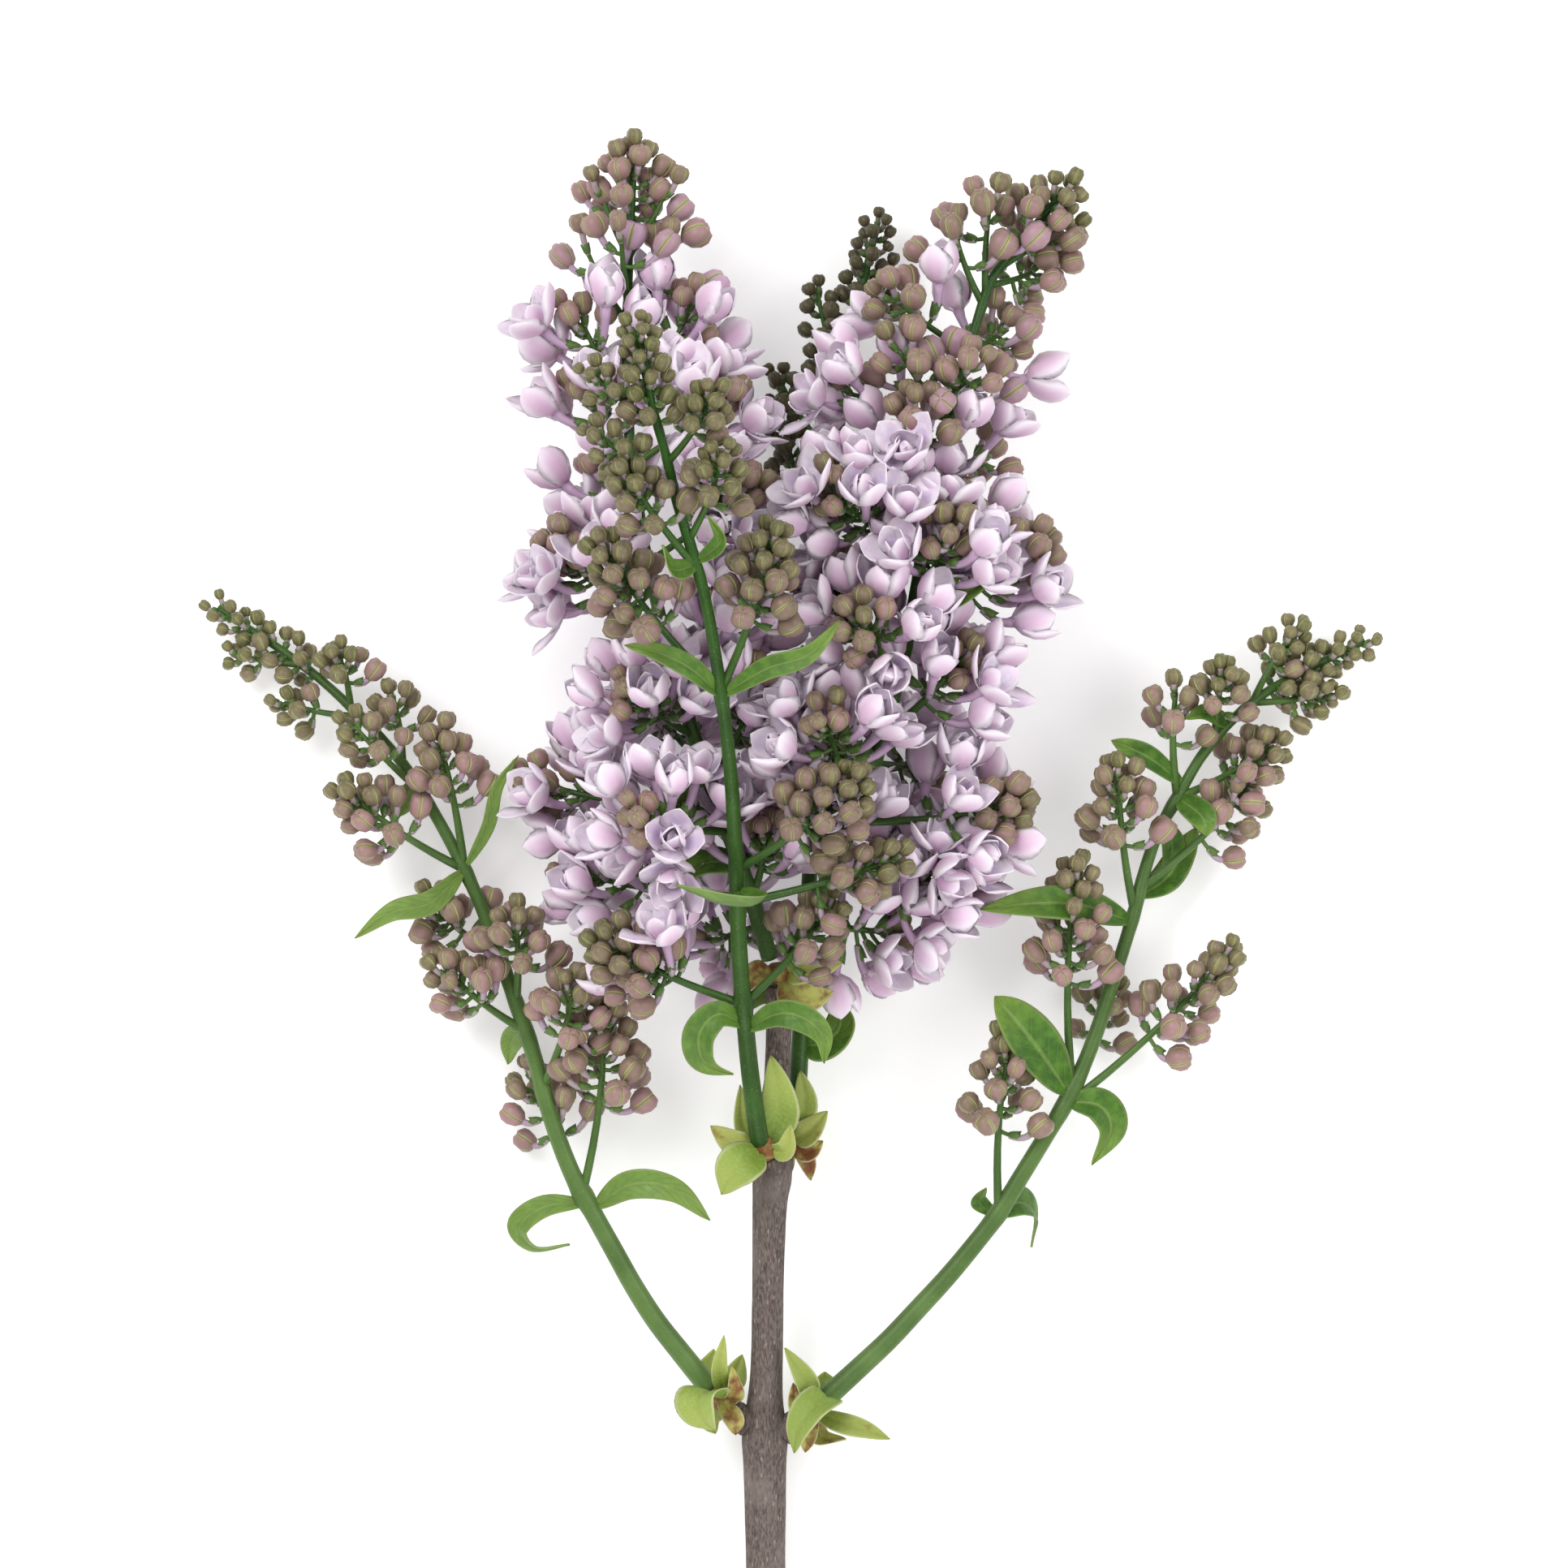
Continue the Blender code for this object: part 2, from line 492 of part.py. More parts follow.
def join_rings(first, first_count, second, second_count):
    """The faces between two rings of corners, of which one may be a point or have half as many corners."""
    faces = []
    most = max(first_count, second_count)
    for step in range(most):
        a = first + step * first_count // most
        a_next = first + ((step + 1) * first_count // most) % first_count
        b = second + step * second_count // most
        b_next = second + ((step + 1) * second_count // most) % second_count
        if a == a_next:
            faces.append((a, b, b_next))
        elif b == b_next:
            faces.append((a, b, a_next))
        else:
            faces.append((a, b, b_next))
            faces.append((a, b_next, a_next))
    return faces


def floret_rings(floret, growth, margin):
    """A floret's cross-sections from its root to its top, each as rows of height, radius and angle."""
    reach = float(np.linalg.norm(floret["head"] - floret["root"]))
    quarter = math.pi / 2
    throat = THROAT_RADIUS + margin
    if not floret["open"]:
        radius = floret["radius"] * growth + margin
        return [
            [(0.0, 0.0, 0.0)],
            [(reach - 1.15 * radius, throat, quarter * k) for k in range(4)],
            [(reach - 0.4 * radius, 0.97 * radius, quarter * (k + 0.5)) for k in range(4)],
            [(reach + 0.42 * radius, 0.88 * radius, quarter * k) for k in range(4)],
            [(reach + 0.98 * radius, 0.0, 0.0)],
        ]
    spread = BLOOM_RADIUS * (0.62 + 0.33 * floret["flare"]) * growth + margin
    lift = 3.4 - 2.6 * floret["flare"]
    rim = []
    for corner in range(8):
        is_tip = corner % 2 == 0
        rim.append((reach + (lift if is_tip else 0.2), spread * (1.0 if is_tip else 0.62), quarter * corner / 2))
    thickness = 0.9 + 2 * margin
    below = [(height - thickness, radius, angle) for height, radius, angle in rim]
    return [
        [(0.0, 0.0, 0.0)],
        [(reach - 3.4, throat, quarter * (k + 0.25)) for k in range(4)],
        below,
        rim,
        [(reach + 1.3 + 0.5 * lift, 0.42 * spread, quarter * (k + 0.5)) for k in range(4)],
        [(reach + 0.8, 0.0, 0.0)],
    ]


def floret_mesh(floret, growth, margin=0.0):
    """Points and faces of one floret: a thin tube from its root, and a four-sided bud or four petals."""
    heading = unit(floret["head"] - floret["root"])
    across, above = side_frame(heading)
    points, faces, starts = [], [], []
    rings = floret_rings(floret, growth, margin)
    for ring in rings:
        starts.append((len(points), len(ring)))
        for height, radius, angle in ring:
            aside = math.cos(angle + floret["turn"]) * across + math.sin(angle + floret["turn"]) * above
            points.append(floret["root"] + heading * height + aside * radius)
    for (first, first_count), (second, second_count) in zip(starts, starts[1:]):
        faces += join_rings(first, first_count, second, second_count)
    return points, faces


def smooth_line(points, share):
    """A point on the smooth curve through a few given points, by Catmull-Rom."""
    points = np.array(points, float)
    padded = np.vstack([2 * points[0] - points[1], points, 2 * points[-1] - points[-2]])
    where = share * (len(points) - 1)
    index = min(int(where), len(points) - 2)
    t = where - index
    a, b, c, d = padded[index:index + 4]
    return 0.5 * (2 * b + (c - a) * t + (2 * a - 5 * b + 4 * c - d) * t**2 + (3 * b - a - 3 * c + d) * t**3)


def blade(name, midrib, towards, half_width, thickness, rows):
    """A leaf or a scale: a thin closed blade, widest before its middle, folded a little along its midrib.

    Its cross-section is a flat lens of four corners, two edges and both faces of the midrib, and is carried
    along the midrib's smooth curve to a point. At its foot it lies square to the way from the first point to
    the one towards which it heads, and after that it turns no more than the curve turns it."""
    shares = np.linspace(0.0, 1.0, rows)
    centres = np.array([smooth_line(midrib, share) for share in shares])
    tangents = np.gradient(centres, axis=0)
    points = []
    across = unit(np.cross(np.subtract(midrib[towards], midrib[0]), [0.13, 0.21, 1.0]))
    for centre, tangent, share in zip(centres[:-1], tangents, shares):
        along = unit(tangent)
        across = unit(across - along * float(across @ along))
        normal = np.cross(across, along)
        width = half_width * max(math.sin(math.pi * share**0.8) ** 0.75, 0.3)
        fold = 0.28 * width
        points.append(centre + width * across + normal * fold)
        points.append(centre + normal * thickness / 2)
        points.append(centre - width * across + normal * fold)
        points.append(centre - normal * thickness / 2)
    points.append(centres[-1])
    faces = [(0, 1, 2, 3)]
    for row in range(rows - 1):
        faces += join_rings(4 * row, 4, 4 * row + 4, 4 if row < rows - 2 else 1)
    return mesh_object(name, points, faces)


def fuse(name, pieces, slot):
    """Joins the pieces into one solid of that name with one Boolean union, and removes them."""
    parts = bpy.data.collections["lilac_stem"]
    whole = pieces[0]
    whole.name = name
    parts.objects.link(whole)
    if len(pieces) > 1:
        others = bpy.data.collections.new(name + "_pieces")
        bpy.context.scene.collection.children.link(others)
        for piece in pieces[1:]:
            others.objects.link(piece)
        union = whole.modifiers.new("union", "BOOLEAN")
        union.operation = "UNION"
        union.operand_type = "COLLECTION"
        union.collection = others
        union.solver = "MANIFOLD"
        bpy.context.view_layer.update()
        evaluated = whole.evaluated_get(bpy.context.evaluated_depsgraph_get())
        mesh = bpy.data.meshes.new_from_object(evaluated)
        whole.modifiers.clear()
        whole.data = mesh
        for piece in pieces[1:]:
            bpy.data.objects.remove(piece)
        bpy.data.collections.remove(others)
    whole.data.materials.clear()
    whole.data.materials.append(finish_material(slot))
    whole.location = -Vector(ORIGIN) * MM
    return whole


def shoot_radius(plan, share):
    """A shoot tapers evenly from its foot to its tip."""
    thick, thin = plan["radii"]
    return thick + (thin - thick) * share


def woody_stem():
    """The grey-brown wood: swollen at each pair of buds, with a short knob under each shoot and a slant cut."""
    wood = np.array(WOOD)
    stem = tube("woody_stem", wood[:, :3], wood[:, 3], sides=8)
    cut_y = wood[0][1] * MM
    for corner in stem.data.vertices:
        if corner.co.y < cut_y + 0.004:
            corner.co.y += CUT_SLANT * MM * (corner.co.z - wood[0][2] * MM) / (wood[0][3] * MM) / 2
    pieces = [stem]
    for side in ("left", "right", "front", "rear"):
        foot = np.array(SCALES[side]["core"][0])
        heading = unit(np.array(SCALES[side]["core"][1]) - foot)
        radius = SCALES[side]["radius"] * 0.84
        knob = [foot - heading * (GAP + 3.6), foot - heading * 1.4 * GAP]
        pieces.append(tube(side + "_knob", knob, [radius * 1.25, radius], sides=6))
    return fuse("woody_stem", pieces, "bark")


def bud_scales(side):
    """The scales that wrapped a winter bud, spread round the short core that their shoot grows from."""
    plan = SCALES[side]
    foot, top = (np.array(end) for end in plan["core"])
    heading = unit(top - foot)
    pieces = [tube("bud_scales_" + side, [foot, top], [plan["radius"], plan["radius"] * 0.95], sides=6)]
    for number, (midrib, half_width) in enumerate(plan["blades"]):
        outward = np.array(midrib[0]) - foot
        outward = unit(outward - heading * float(outward @ heading))
        root = foot + 0.45 * (top - foot) + 0.6 * plan["radius"] * outward
        pieces.append(blade(f"{side}_scale_{number}", [root, *midrib], -1, half_width, SCALE_THICKNESS, rows=5))
    return fuse("bud_scales_" + side, pieces, "bud_scale")


def green_shoot(shoot, sprays):
    """A shoot up to its tip spray, with the inner parts of its side branches and its leaves."""
    plan = SHOOTS[shoot]
    line = np.array(plan["line"], float)
    top = share_at_y(line, plan["tip_from"])
    length = float(np.linalg.norm(np.diff(line, axis=0), axis=1).sum())
    shares = np.linspace(0.0, top - GAP / 2 / length, 10)[1:]
    stem = [point_at(line, share) for share in shares]
    if shoot in SCALES:
        foot, core_top = (np.array(end) for end in SCALES[shoot]["core"])
        heading = unit(core_top - foot)
        stem = [core_top + heading * 1.3 * GAP, core_top + heading * 2.5, *stem]
    else:
        stem = [line[0], line[0] + 2.5 * unit(line[1] - line[0]), *stem]
    radii = [plan["radii"][0]] * 2 + [shoot_radius(plan, share) for share in shares]
    pieces = [tube(shoot, stem, radii, sides=6)]
    for spray in sprays:
        if spray["at_tip"]:
            continue
        reach = float(np.linalg.norm(np.diff(spray["line"], axis=0), axis=1).sum())
        stub = stretch(spray["line"], 0.0, STUB_SHARE - GAP / 2 / reach, 3)
        pieces.append(tube(f"{shoot}_stub", stub, [BRANCH_RADIUS * 1.2, BRANCH_RADIUS, BRANCH_RADIUS]))
    for midrib, half_width in LEAVES[shoot]:
        pieces.append(blade(shoot + "_leaf", midrib, 1, half_width, LEAF_THICKNESS, rows=6))
    return fuse(shoot + "_shoot", pieces, "green_shoot")


def spray_branches(group):
    """The bare twigs of one node: a side spray's outer branch, or a shoot's top with the branches on it."""
    twigs = []
    if not group["at_tip"]:
        line = group["sprays"][0]["line"]
        reach = float(np.linalg.norm(np.diff(line, axis=0), axis=1).sum())
        outer = stretch(line, STUB_SHARE + GAP / 2 / reach, 1.0, 4)
        return [tube(group["name"], outer, [BRANCH_RADIUS, BRANCH_RADIUS, TWIG_RADIUS, TWIG_RADIUS])]
    plan = SHOOTS[group["shoot"]]
    line = np.array(plan["line"], float)
    length = float(np.linalg.norm(np.diff(line, axis=0), axis=1).sum())
    start = share_at_y(line, plan["tip_from"]) + GAP / 2 / length
    last_start = share_at_y(line, plan["sprays"][-1][0])
    shares = [*np.linspace(start, last_start, 5)[:-1], *np.linspace(last_start, 1.0, 5)]
    twigs.append(tube(group["name"], [point_at(line, s) for s in shares], [shoot_radius(plan, s) for s in shares]))
    for spray in group["sprays"]:
        if not spray["is_last"]:
            side = stretch(spray["line"], 0.0, 1.0, 4)
            twigs.append(tube("twig", side, [BRANCH_RADIUS, TWIG_RADIUS, TWIG_RADIUS, TWIG_RADIUS]))
    return twigs


def spray_groups(sprays):
    """The sprays by the node they belong to: one for each side spray, and one for each shoot's tip."""
    groups = []
    for shoot in SHOOTS:
        own = [spray for spray in sprays if spray["shoot"] == shoot]
        for spray in own:
            if not spray["at_tip"]:
                name = f"{shoot}_spray_{spray['number']}"
                groups.append({"name": name, "shoot": shoot, "at_tip": False, "sprays": [spray]})
        at_tip = [spray for spray in own if spray["at_tip"]]
        groups.append({"name": shoot + "_tip_spray", "shoot": shoot, "at_tip": True, "sprays": at_tip})
    return groups


def tree_of(item):
    """The surface of an object, for finding what touches it."""
    corners = [tuple(corner.co) for corner in item.data.vertices]
    return BVHTree.FromPolygons(corners, [tuple(face.vertices) for face in item.data.polygons])


def modelled(florets, share):
    """An even pick of a spray's florets, its outermost always among them."""
    count = max(1, round(share * len(florets)))
    return [florets[len(florets) - 1 - int(index * len(florets) / count)] for index in range(count)]


def room_for(floret, owner, taken):
    """The largest growth at which a floret keeps clear of the table and of all else but its own twigs."""
    for growth in BLOOM_GROWTHS if floret["open"] else BUD_GROWTHS:
        points, faces = floret_mesh(floret, growth, CLEARANCE)
        points = [Vector(point) * MM for point in points]
        if min(point.z for point in points) < ORIGIN[2] * MM - CLEARANCE * MM:
            continue
        wide = BVHTree.FromPolygons(points, faces)
        if not any(name != owner and wide.overlap(tree) for name, tree in taken):
            return growth
    return None


def build():
    clear_scene()
    parts = bpy.data.collections.new("lilac_stem")
    bpy.context.scene.collection.children.link(parts)
    sprays = plan_sprays()
    settle(sprays)
    taken = [("woody_stem", tree_of(woody_stem()))]
    for side in SCALES:
        taken.append(("scales", tree_of(bud_scales(side))))
    for shoot in SHOOTS:
        own = [spray for spray in sprays if spray["shoot"] == shoot]
        taken.append((shoot, tree_of(green_shoot(shoot, own))))
    groups = spray_groups(sprays)
    for group in groups:
        group["pieces"] = spray_branches(group)
        for piece in group["pieces"]:
            taken.append((group["name"], tree_of(piece)))
    for group in groups:
        for spray in group["sprays"]:
            for floret in modelled(spray["florets"], SOLID_SHARE):
                growth = room_for(floret, group["name"], taken)
                if growth:
                    piece = mesh_object("floret", *floret_mesh(floret, growth))
                    group["pieces"].append(piece)
                    taken.append(("floret", tree_of(piece)))
    for group in groups:
        slot = "bloom" if group["shoot"] in BLOOM_SHOOTS else "bud"
        fuse(group["name"], group["pieces"], slot)


build()
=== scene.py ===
import math
import random

import bpy
import numpy as np
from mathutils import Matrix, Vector


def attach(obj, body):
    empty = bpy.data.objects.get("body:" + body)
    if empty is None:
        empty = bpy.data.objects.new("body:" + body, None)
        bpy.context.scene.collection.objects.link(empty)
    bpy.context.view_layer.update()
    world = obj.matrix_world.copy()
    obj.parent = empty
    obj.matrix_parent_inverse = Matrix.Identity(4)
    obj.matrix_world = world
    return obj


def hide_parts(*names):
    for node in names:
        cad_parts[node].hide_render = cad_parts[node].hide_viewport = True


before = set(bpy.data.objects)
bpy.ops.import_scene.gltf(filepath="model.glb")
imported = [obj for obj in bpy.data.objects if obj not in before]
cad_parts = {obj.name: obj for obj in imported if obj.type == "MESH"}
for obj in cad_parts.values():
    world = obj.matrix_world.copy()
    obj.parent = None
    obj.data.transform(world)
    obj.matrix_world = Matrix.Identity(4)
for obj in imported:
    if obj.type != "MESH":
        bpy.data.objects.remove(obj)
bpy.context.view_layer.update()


# The woody stem: one piece of last year's wood with grey-brown bark, scattered with small pale pores. It is
# swollen where each pair of buds stood, has a corky collar under every shoot, and was cut slantwise with a
# knife, which shows pale wood round a small pith. Lengths are millimetres, x to the right, y along the stem.
MM = 0.001
ORIGIN = np.array([5.5, 106.6, 0.28])     # where the frame's origin lies in these millimetres
WOOD = [
    (0.5, -60.0, 4.35, 4.1), (0.2, -30.0, 8.0, 4.1), (0.0, -8.0, 10.8, 4.5), (0.0, -1.0, 11.7, 4.8),
    (0.0, 6.0, 12.6, 3.8), (0.3, 13.0, 13.5, 3.4), (0.6, 30.0, 15.8, 3.3), (1.0, 47.0, 18.0, 3.6),
    (1.6, 54.0, 19.0, 4.1), (2.0, 62.0, 20.0, 3.2), (2.4, 72.0, 21.3, 2.7), (2.9, 84.0, 22.9, 2.7),
    (3.4, 93.5, 24.1, 3.2),
]
WOOD_ROWS, WOOD_SIDES = 300, 56
CUT_SLANT, CUT_DEPTH = 1.3, 4.0       # how far the cut leans along the stem, and how far in that fades out
CUT_RADII = (0.12, 0.3, 0.6, 0.88, 0.96)      # rings of the cut face, as shares of the stem's radius
RIDGE = 0.022       # height of the bark's long ridges, as a share of the radius
RIDGES = (          # how many go round, how high, how far they wander, over what length
    (3, 0.5, 1.5, 17.0), (7, 0.4, 2.2, 9.0), (13, 0.35, 2.5, 5.0), (21, 0.25, 2.0, 3.1),
)
CORKY_LEVELS = ((2.5, 3.0), (58.0, 2.5))      # where pairs of buds stood, and how far their cork reaches
COLLARS = {         # the corky collar under each shoot: where it starts and ends, its radius
    "left": ((-3.0, 1.4, 12.3), (-6.7, 4.85, 12.77), 2.5),
    "right": ((3.2, -0.2, 12.1), (6.85, 2.65, 12.46), 2.6),
    "front": ((2.0, 55.6, 24.0), (0.87, 57.87, 25.75), 2.3),
    "rear": ((3.0, 55.9, 14.6), (4.06, 58.98, 13.5), 2.3),
}


def unit(vectors):
    """Each vector divided by its own length."""
    return vectors / np.linalg.norm(vectors, axis=-1, keepdims=True)


def curve_through(points, count):
    """A smooth curve through the given points, cut into evenly numbered steps: the Catmull-Rom cubic of the
    two points on either side of each place. Works on x, y, z alone or with a radius as a fourth number."""
    points = np.asarray(points, float)
    padded = np.vstack([2 * points[0] - points[1], points, 2 * points[-1] - points[-2]])
    place = np.linspace(0.0, len(points) - 1.0, count)
    piece = np.minimum(place.astype(int), len(points) - 2)
    t = (place - piece)[:, None]
    before, start, end, after = (padded[piece + step] for step in range(4))
    bend = 2 * before - 5 * start + 4 * end - after
    twist = 3 * start - before - 3 * end + after
    return 0.5 * (2 * start + (end - before) * t + bend * t**2 + twist * t**3)


def round_rings(paths, radii, sides):
    """Rings round many paths at once: centre + radius * (cos a * across + sin a * above), with a going round
    and both directions square to the path. Paths are copies x rows x 3, radii copies x rows (x sides)."""
    along = unit(np.gradient(paths, axis=1))
    steep = np.abs(along.mean(axis=1, keepdims=True)[..., 2:]) > 0.75
    aside = np.where(steep, np.array([1.0, 0.0, 0.0]), np.array([0.0, 0.0, 1.0]))
    across = unit(np.cross(along, aside))
    above = np.cross(along, across)
    angle = np.linspace(0.0, 2 * np.pi, sides, endpoint=False)[:, None]
    spokes = np.cos(angle) * across[:, :, None] + np.sin(angle) * above[:, :, None]
    reach = radii[..., None] if radii.ndim == 3 else radii[..., None, None]
    return paths[:, :, None] + reach * spokes


def added(name, data):
    """A new object in the scene, at the origin."""
    item = bpy.data.objects.new(name, data)
    bpy.context.scene.collection.objects.link(item)
    return item


def skin(name, bodies, finish):
    """One object from closed bodies. Each body is an array of rings, copies x rows x sides x 3, joined by
    four-sided faces and closed at both ends by a fan to the middle of the last ring. Beside it stand the
    marks: numbers for every corner, which the finishes read back. No corner lies below the table."""
    corners, quads, fans, first = [], [], [], 0
    marks = {mark: [] for mark in bodies[0][1]}
    for rings, values in bodies:
        copies, rows, sides = rings.shape[:3]
        middles = rings[:, [0, -1]].mean(axis=2)
        corners.append(np.concatenate([rings.reshape(copies, -1, 3), middles], axis=1).reshape(-1, 3))
        size = rows * sides + 2
        shift = first + size * np.arange(copies)[:, None, None]
        row, side = np.meshgrid(np.arange(rows - 1) * sides, np.arange(sides), indexing="ij")
        beside = (side + 1) % sides
        quad = np.stack([row + side, row + beside, row + sides + beside, row + sides + side], axis=-1)
        quads.append((quad.reshape(1, -1, 4) + shift).reshape(-1, 4))
        side, beside, last = side[0], beside[0], (rows - 1) * sides
        low = np.stack([beside, side, np.full(sides, rows * sides)], axis=-1)
        high = np.stack([last + side, last + beside, np.full(sides, rows * sides + 1)], axis=-1)
        fans.append((np.concatenate([low, high])[None] + shift).reshape(-1, 3))
        for mark, value in values.items():
            value = np.broadcast_to(value, rings.shape[:3])
            ends = value[:, [0, -1]].mean(axis=2)
            marks[mark].append(np.concatenate([value.reshape(copies, -1), ends], axis=1).ravel())
        first += copies * size
    corners, quads, fans = np.concatenate(corners), np.concatenate(quads), np.concatenate(fans)
    corners[:, 2] = np.maximum(corners[:, 2], ORIGIN[2] + 0.02)
    mesh = bpy.data.meshes.new(name)
    mesh.vertices.add(len(corners))
    mesh.vertices.foreach_set("co", ((corners - ORIGIN) * MM).ravel())
    mesh.loops.add(quads.size + fans.size)
    mesh.loops.foreach_set("vertex_index", np.concatenate([quads.ravel(), fans.ravel()]))
    mesh.polygons.add(len(quads) + len(fans))
    starts = np.concatenate([np.arange(len(quads)) * 4, quads.size + np.arange(len(fans)) * 3])
    mesh.polygons.foreach_set("loop_start", starts)
    mesh.update(calc_edges=True)
    mesh.polygons.foreach_set("use_smooth", np.ones(len(mesh.polygons), bool))
    for mark, value in marks.items():
        layer = mesh.attributes.new(mark, "FLOAT", "POINT")
        layer.data.foreach_set("value", np.concatenate(value).astype(np.float32))
    mesh.materials.append(finish.material)
    piece = added(name, mesh)
    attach(piece, "root")
    return piece


class Reading:
    """A number or a colour that varies over a surface. Arithmetic on readings adds Math nodes."""

    def __init__(self, finish, socket):
        self.finish = finish
        self.socket = socket

    def __add__(self, other):
        return self.finish.maths("ADD", self, other)

    def __sub__(self, other):
        return self.finish.maths("SUBTRACT", self, other)

    def __rsub__(self, other):
        return self.finish.maths("SUBTRACT", other, self)

    def __mul__(self, other):
        return self.finish.maths("MULTIPLY", self, other)

    __radd__ = __add__
    __rmul__ = __mul__


class Finish:
    """A material built up on one Principled shader, whose even values are set on its own sockets."""

    def __init__(self, name, **even):
        self.material = bpy.data.materials.new(name)
        self.material.use_nodes = True
        self.tree = self.material.node_tree
        self.shader = self.tree.nodes["Principled BSDF"]
        for socket, value in even.items():
            self.shader.inputs[socket.replace("_", " ")].default_value = value

    def node(self, kind, settings, inputs, output=0):
        """Adds any node, its settings first, then a value or a link for each input, and reads an output."""
        made = self.tree.nodes.new("ShaderNode" + kind)
        for setting, value in settings.items():
            setattr(made, setting, value)
        for place, value in inputs.items():
            if isinstance(value, Reading):
                self.tree.links.new(value.socket, made.inputs[place])
            else:
                made.inputs[place].default_value = value
        return Reading(self, made.outputs[output])

    def maths(self, operation, first, second=0.0):
        """One Math node."""
        return self.node("Math", {"operation": operation}, {0: first, 1: second})

    def mark(self, name):
        """The number that the mesh carries under this name."""
        return self.node("Attribute", {"attribute_name": name}, {}, "Fac")

    def place(self, stretch=(1.0, 1.0, 1.0)):
        """Where a point lies in the piece. A pattern is drawn out along an axis whose stretch is under 1."""
        place = self.node("TexCoord", {}, {}, "Object")
        return self.node("Mapping", {"vector_type": "POINT"}, {"Vector": place, "Scale": stretch})

    def noise(self, scale, stretch=(1.0, 1.0, 1.0), detail=3.0, roughness=0.55):
        """Cloudy noise between 0 and 1, fixed to the piece. Scale is cells in a metre."""
        inputs = {"Vector": self.place(stretch), "Scale": scale, "Detail": detail, "Roughness": roughness}
        return self.node("TexNoise", {}, inputs)

    def rise(self, value, low, high):
        """Goes smoothly from 0 to 1 as the value goes from low to high."""
        settings = {"interpolation_type": "SMOOTHSTEP"}
        return self.node("MapRange", settings, {"Value": value, "From Min": low, "From Max": high})

    def blend(self, share, first, second):
        """The first colour where the share is 0, the second where it is 1."""
        colours = [c if isinstance(c, Reading) else (*c, 1.0) for c in (first, second)]
        return self.node("Mix", {"data_type": "RGBA"}, {0: share, 6: colours[0], 7: colours[1]}, 2)

    def wear(self, colour, roughness=None, height=None, depth=0.0001):
        """Links the varying colour, roughness and relief to the shader. Depth is the relief in metres."""
        self.tree.links.new(colour.socket, self.shader.inputs["Base Color"])
        if roughness is not None:
            self.tree.links.new(roughness.socket, self.shader.inputs["Roughness"])
        if height is not None:
            normal = self.node("Bump", {}, {"Strength": 1.0, "Distance": depth, "Height": height})
            self.tree.links.new(normal.socket, self.shader.inputs["Normal"])


bark = Finish("grey_brown_bark", Roughness=0.85)
streaks = bark.noise(2600.0, (1.0, 0.22, 1.0), 5.0, 0.7)
patches = bark.noise(160.0, (1.0, 0.45, 1.0), 4.0)
cells = {"Vector": bark.place((1.0, 0.36, 1.0)), "Scale": 900.0}
pores = bark.node("TexVoronoi", {"feature": "F1"}, cells, "Distance")
pores = 1.0 - bark.rise(pores, 0.10, 0.24)
colour = bark.blend(bark.rise(streaks, 0.34, 0.66), (0.054, 0.038, 0.032), (0.188, 0.147, 0.130))
colour = bark.blend(bark.rise(patches, 0.45, 0.7) * 0.5, colour, (0.22, 0.182, 0.163))
colour = bark.blend(pores * 0.6, colour, (0.38, 0.32, 0.25))
colour = bark.blend(bark.mark("cork"), colour, (0.045, 0.024, 0.018))
heart = bark.mark("heart")
rings_of_wood = bark.rise(bark.noise(260.0), 0.3, 0.7)
cut_colour = bark.blend(rings_of_wood, (0.50, 0.46, 0.26), (0.62, 0.58, 0.38))
cut_colour = bark.blend(1.0 - bark.rise(heart, 0.1, 0.16), cut_colour, (0.22, 0.15, 0.07))
cut_colour = bark.blend(bark.rise(heart, 0.84, 0.94), cut_colour, (0.16, 0.24, 0.06))
colour = bark.blend(bark.rise(bark.mark("cut"), 0.4, 0.6), colour, cut_colour)
bark.wear(colour, 0.95 - 0.2 * streaks, streaks * 0.7 + pores * 0.5, 0.00016)

spine = curve_through(WOOD, WOOD_ROWS)[None]
wood_paths, wood_radii = spine[..., :3], spine[..., 3]
turn = np.linspace(0.0, 2 * np.pi, WOOD_SIDES, endpoint=False)
far = wood_paths[..., 1:2]
relief = sum(
    amount * np.sin(count * turn + wander * np.sin(far / length) + 1.7 * count)
    for count, amount, wander, length in RIDGES
)
wood_rings = round_rings(wood_paths, wood_radii[..., None] * (1.0 + RIDGE * relief), WOOD_SIDES)
face = wood_rings[:, :1].mean(axis=2, keepdims=True)
shares = np.array(CUT_RADII)[:, None, None]
cut_rings = face + shares * (wood_rings[:, :1] - face)
wood_rings = np.concatenate([cut_rings, wood_rings], axis=1)
lean = np.clip(1.0 - (wood_rings[..., 1] - WOOD[0][1]) / CUT_DEPTH, 0.0, 1.0)
wood_rings[..., 1] += lean * CUT_SLANT * (wood_rings[..., 2] - WOOD[0][2]) / WOOD[0][3]
hearts = np.concatenate([CUT_RADII, np.ones(WOOD_ROWS)])[None, :, None]
cuts = np.concatenate([np.ones(len(CUT_RADII)), np.zeros(WOOD_ROWS)])[None, :, None]
wood_y = wood_rings[..., 1]
near_collar = sum(np.exp(-((wood_y - level) / reach) ** 2) for level, reach in CORKY_LEVELS)
sideways = np.abs(np.cos(turn))
cork = 0.75 * near_collar * sideways**4 + 0.5 * np.clip((wood_y - 91.0) / 2.5, 0.0, 1.0)
bodies = [(wood_rings, {"cork": cork * (1 - cuts), "heart": hearts, "cut": cuts})]
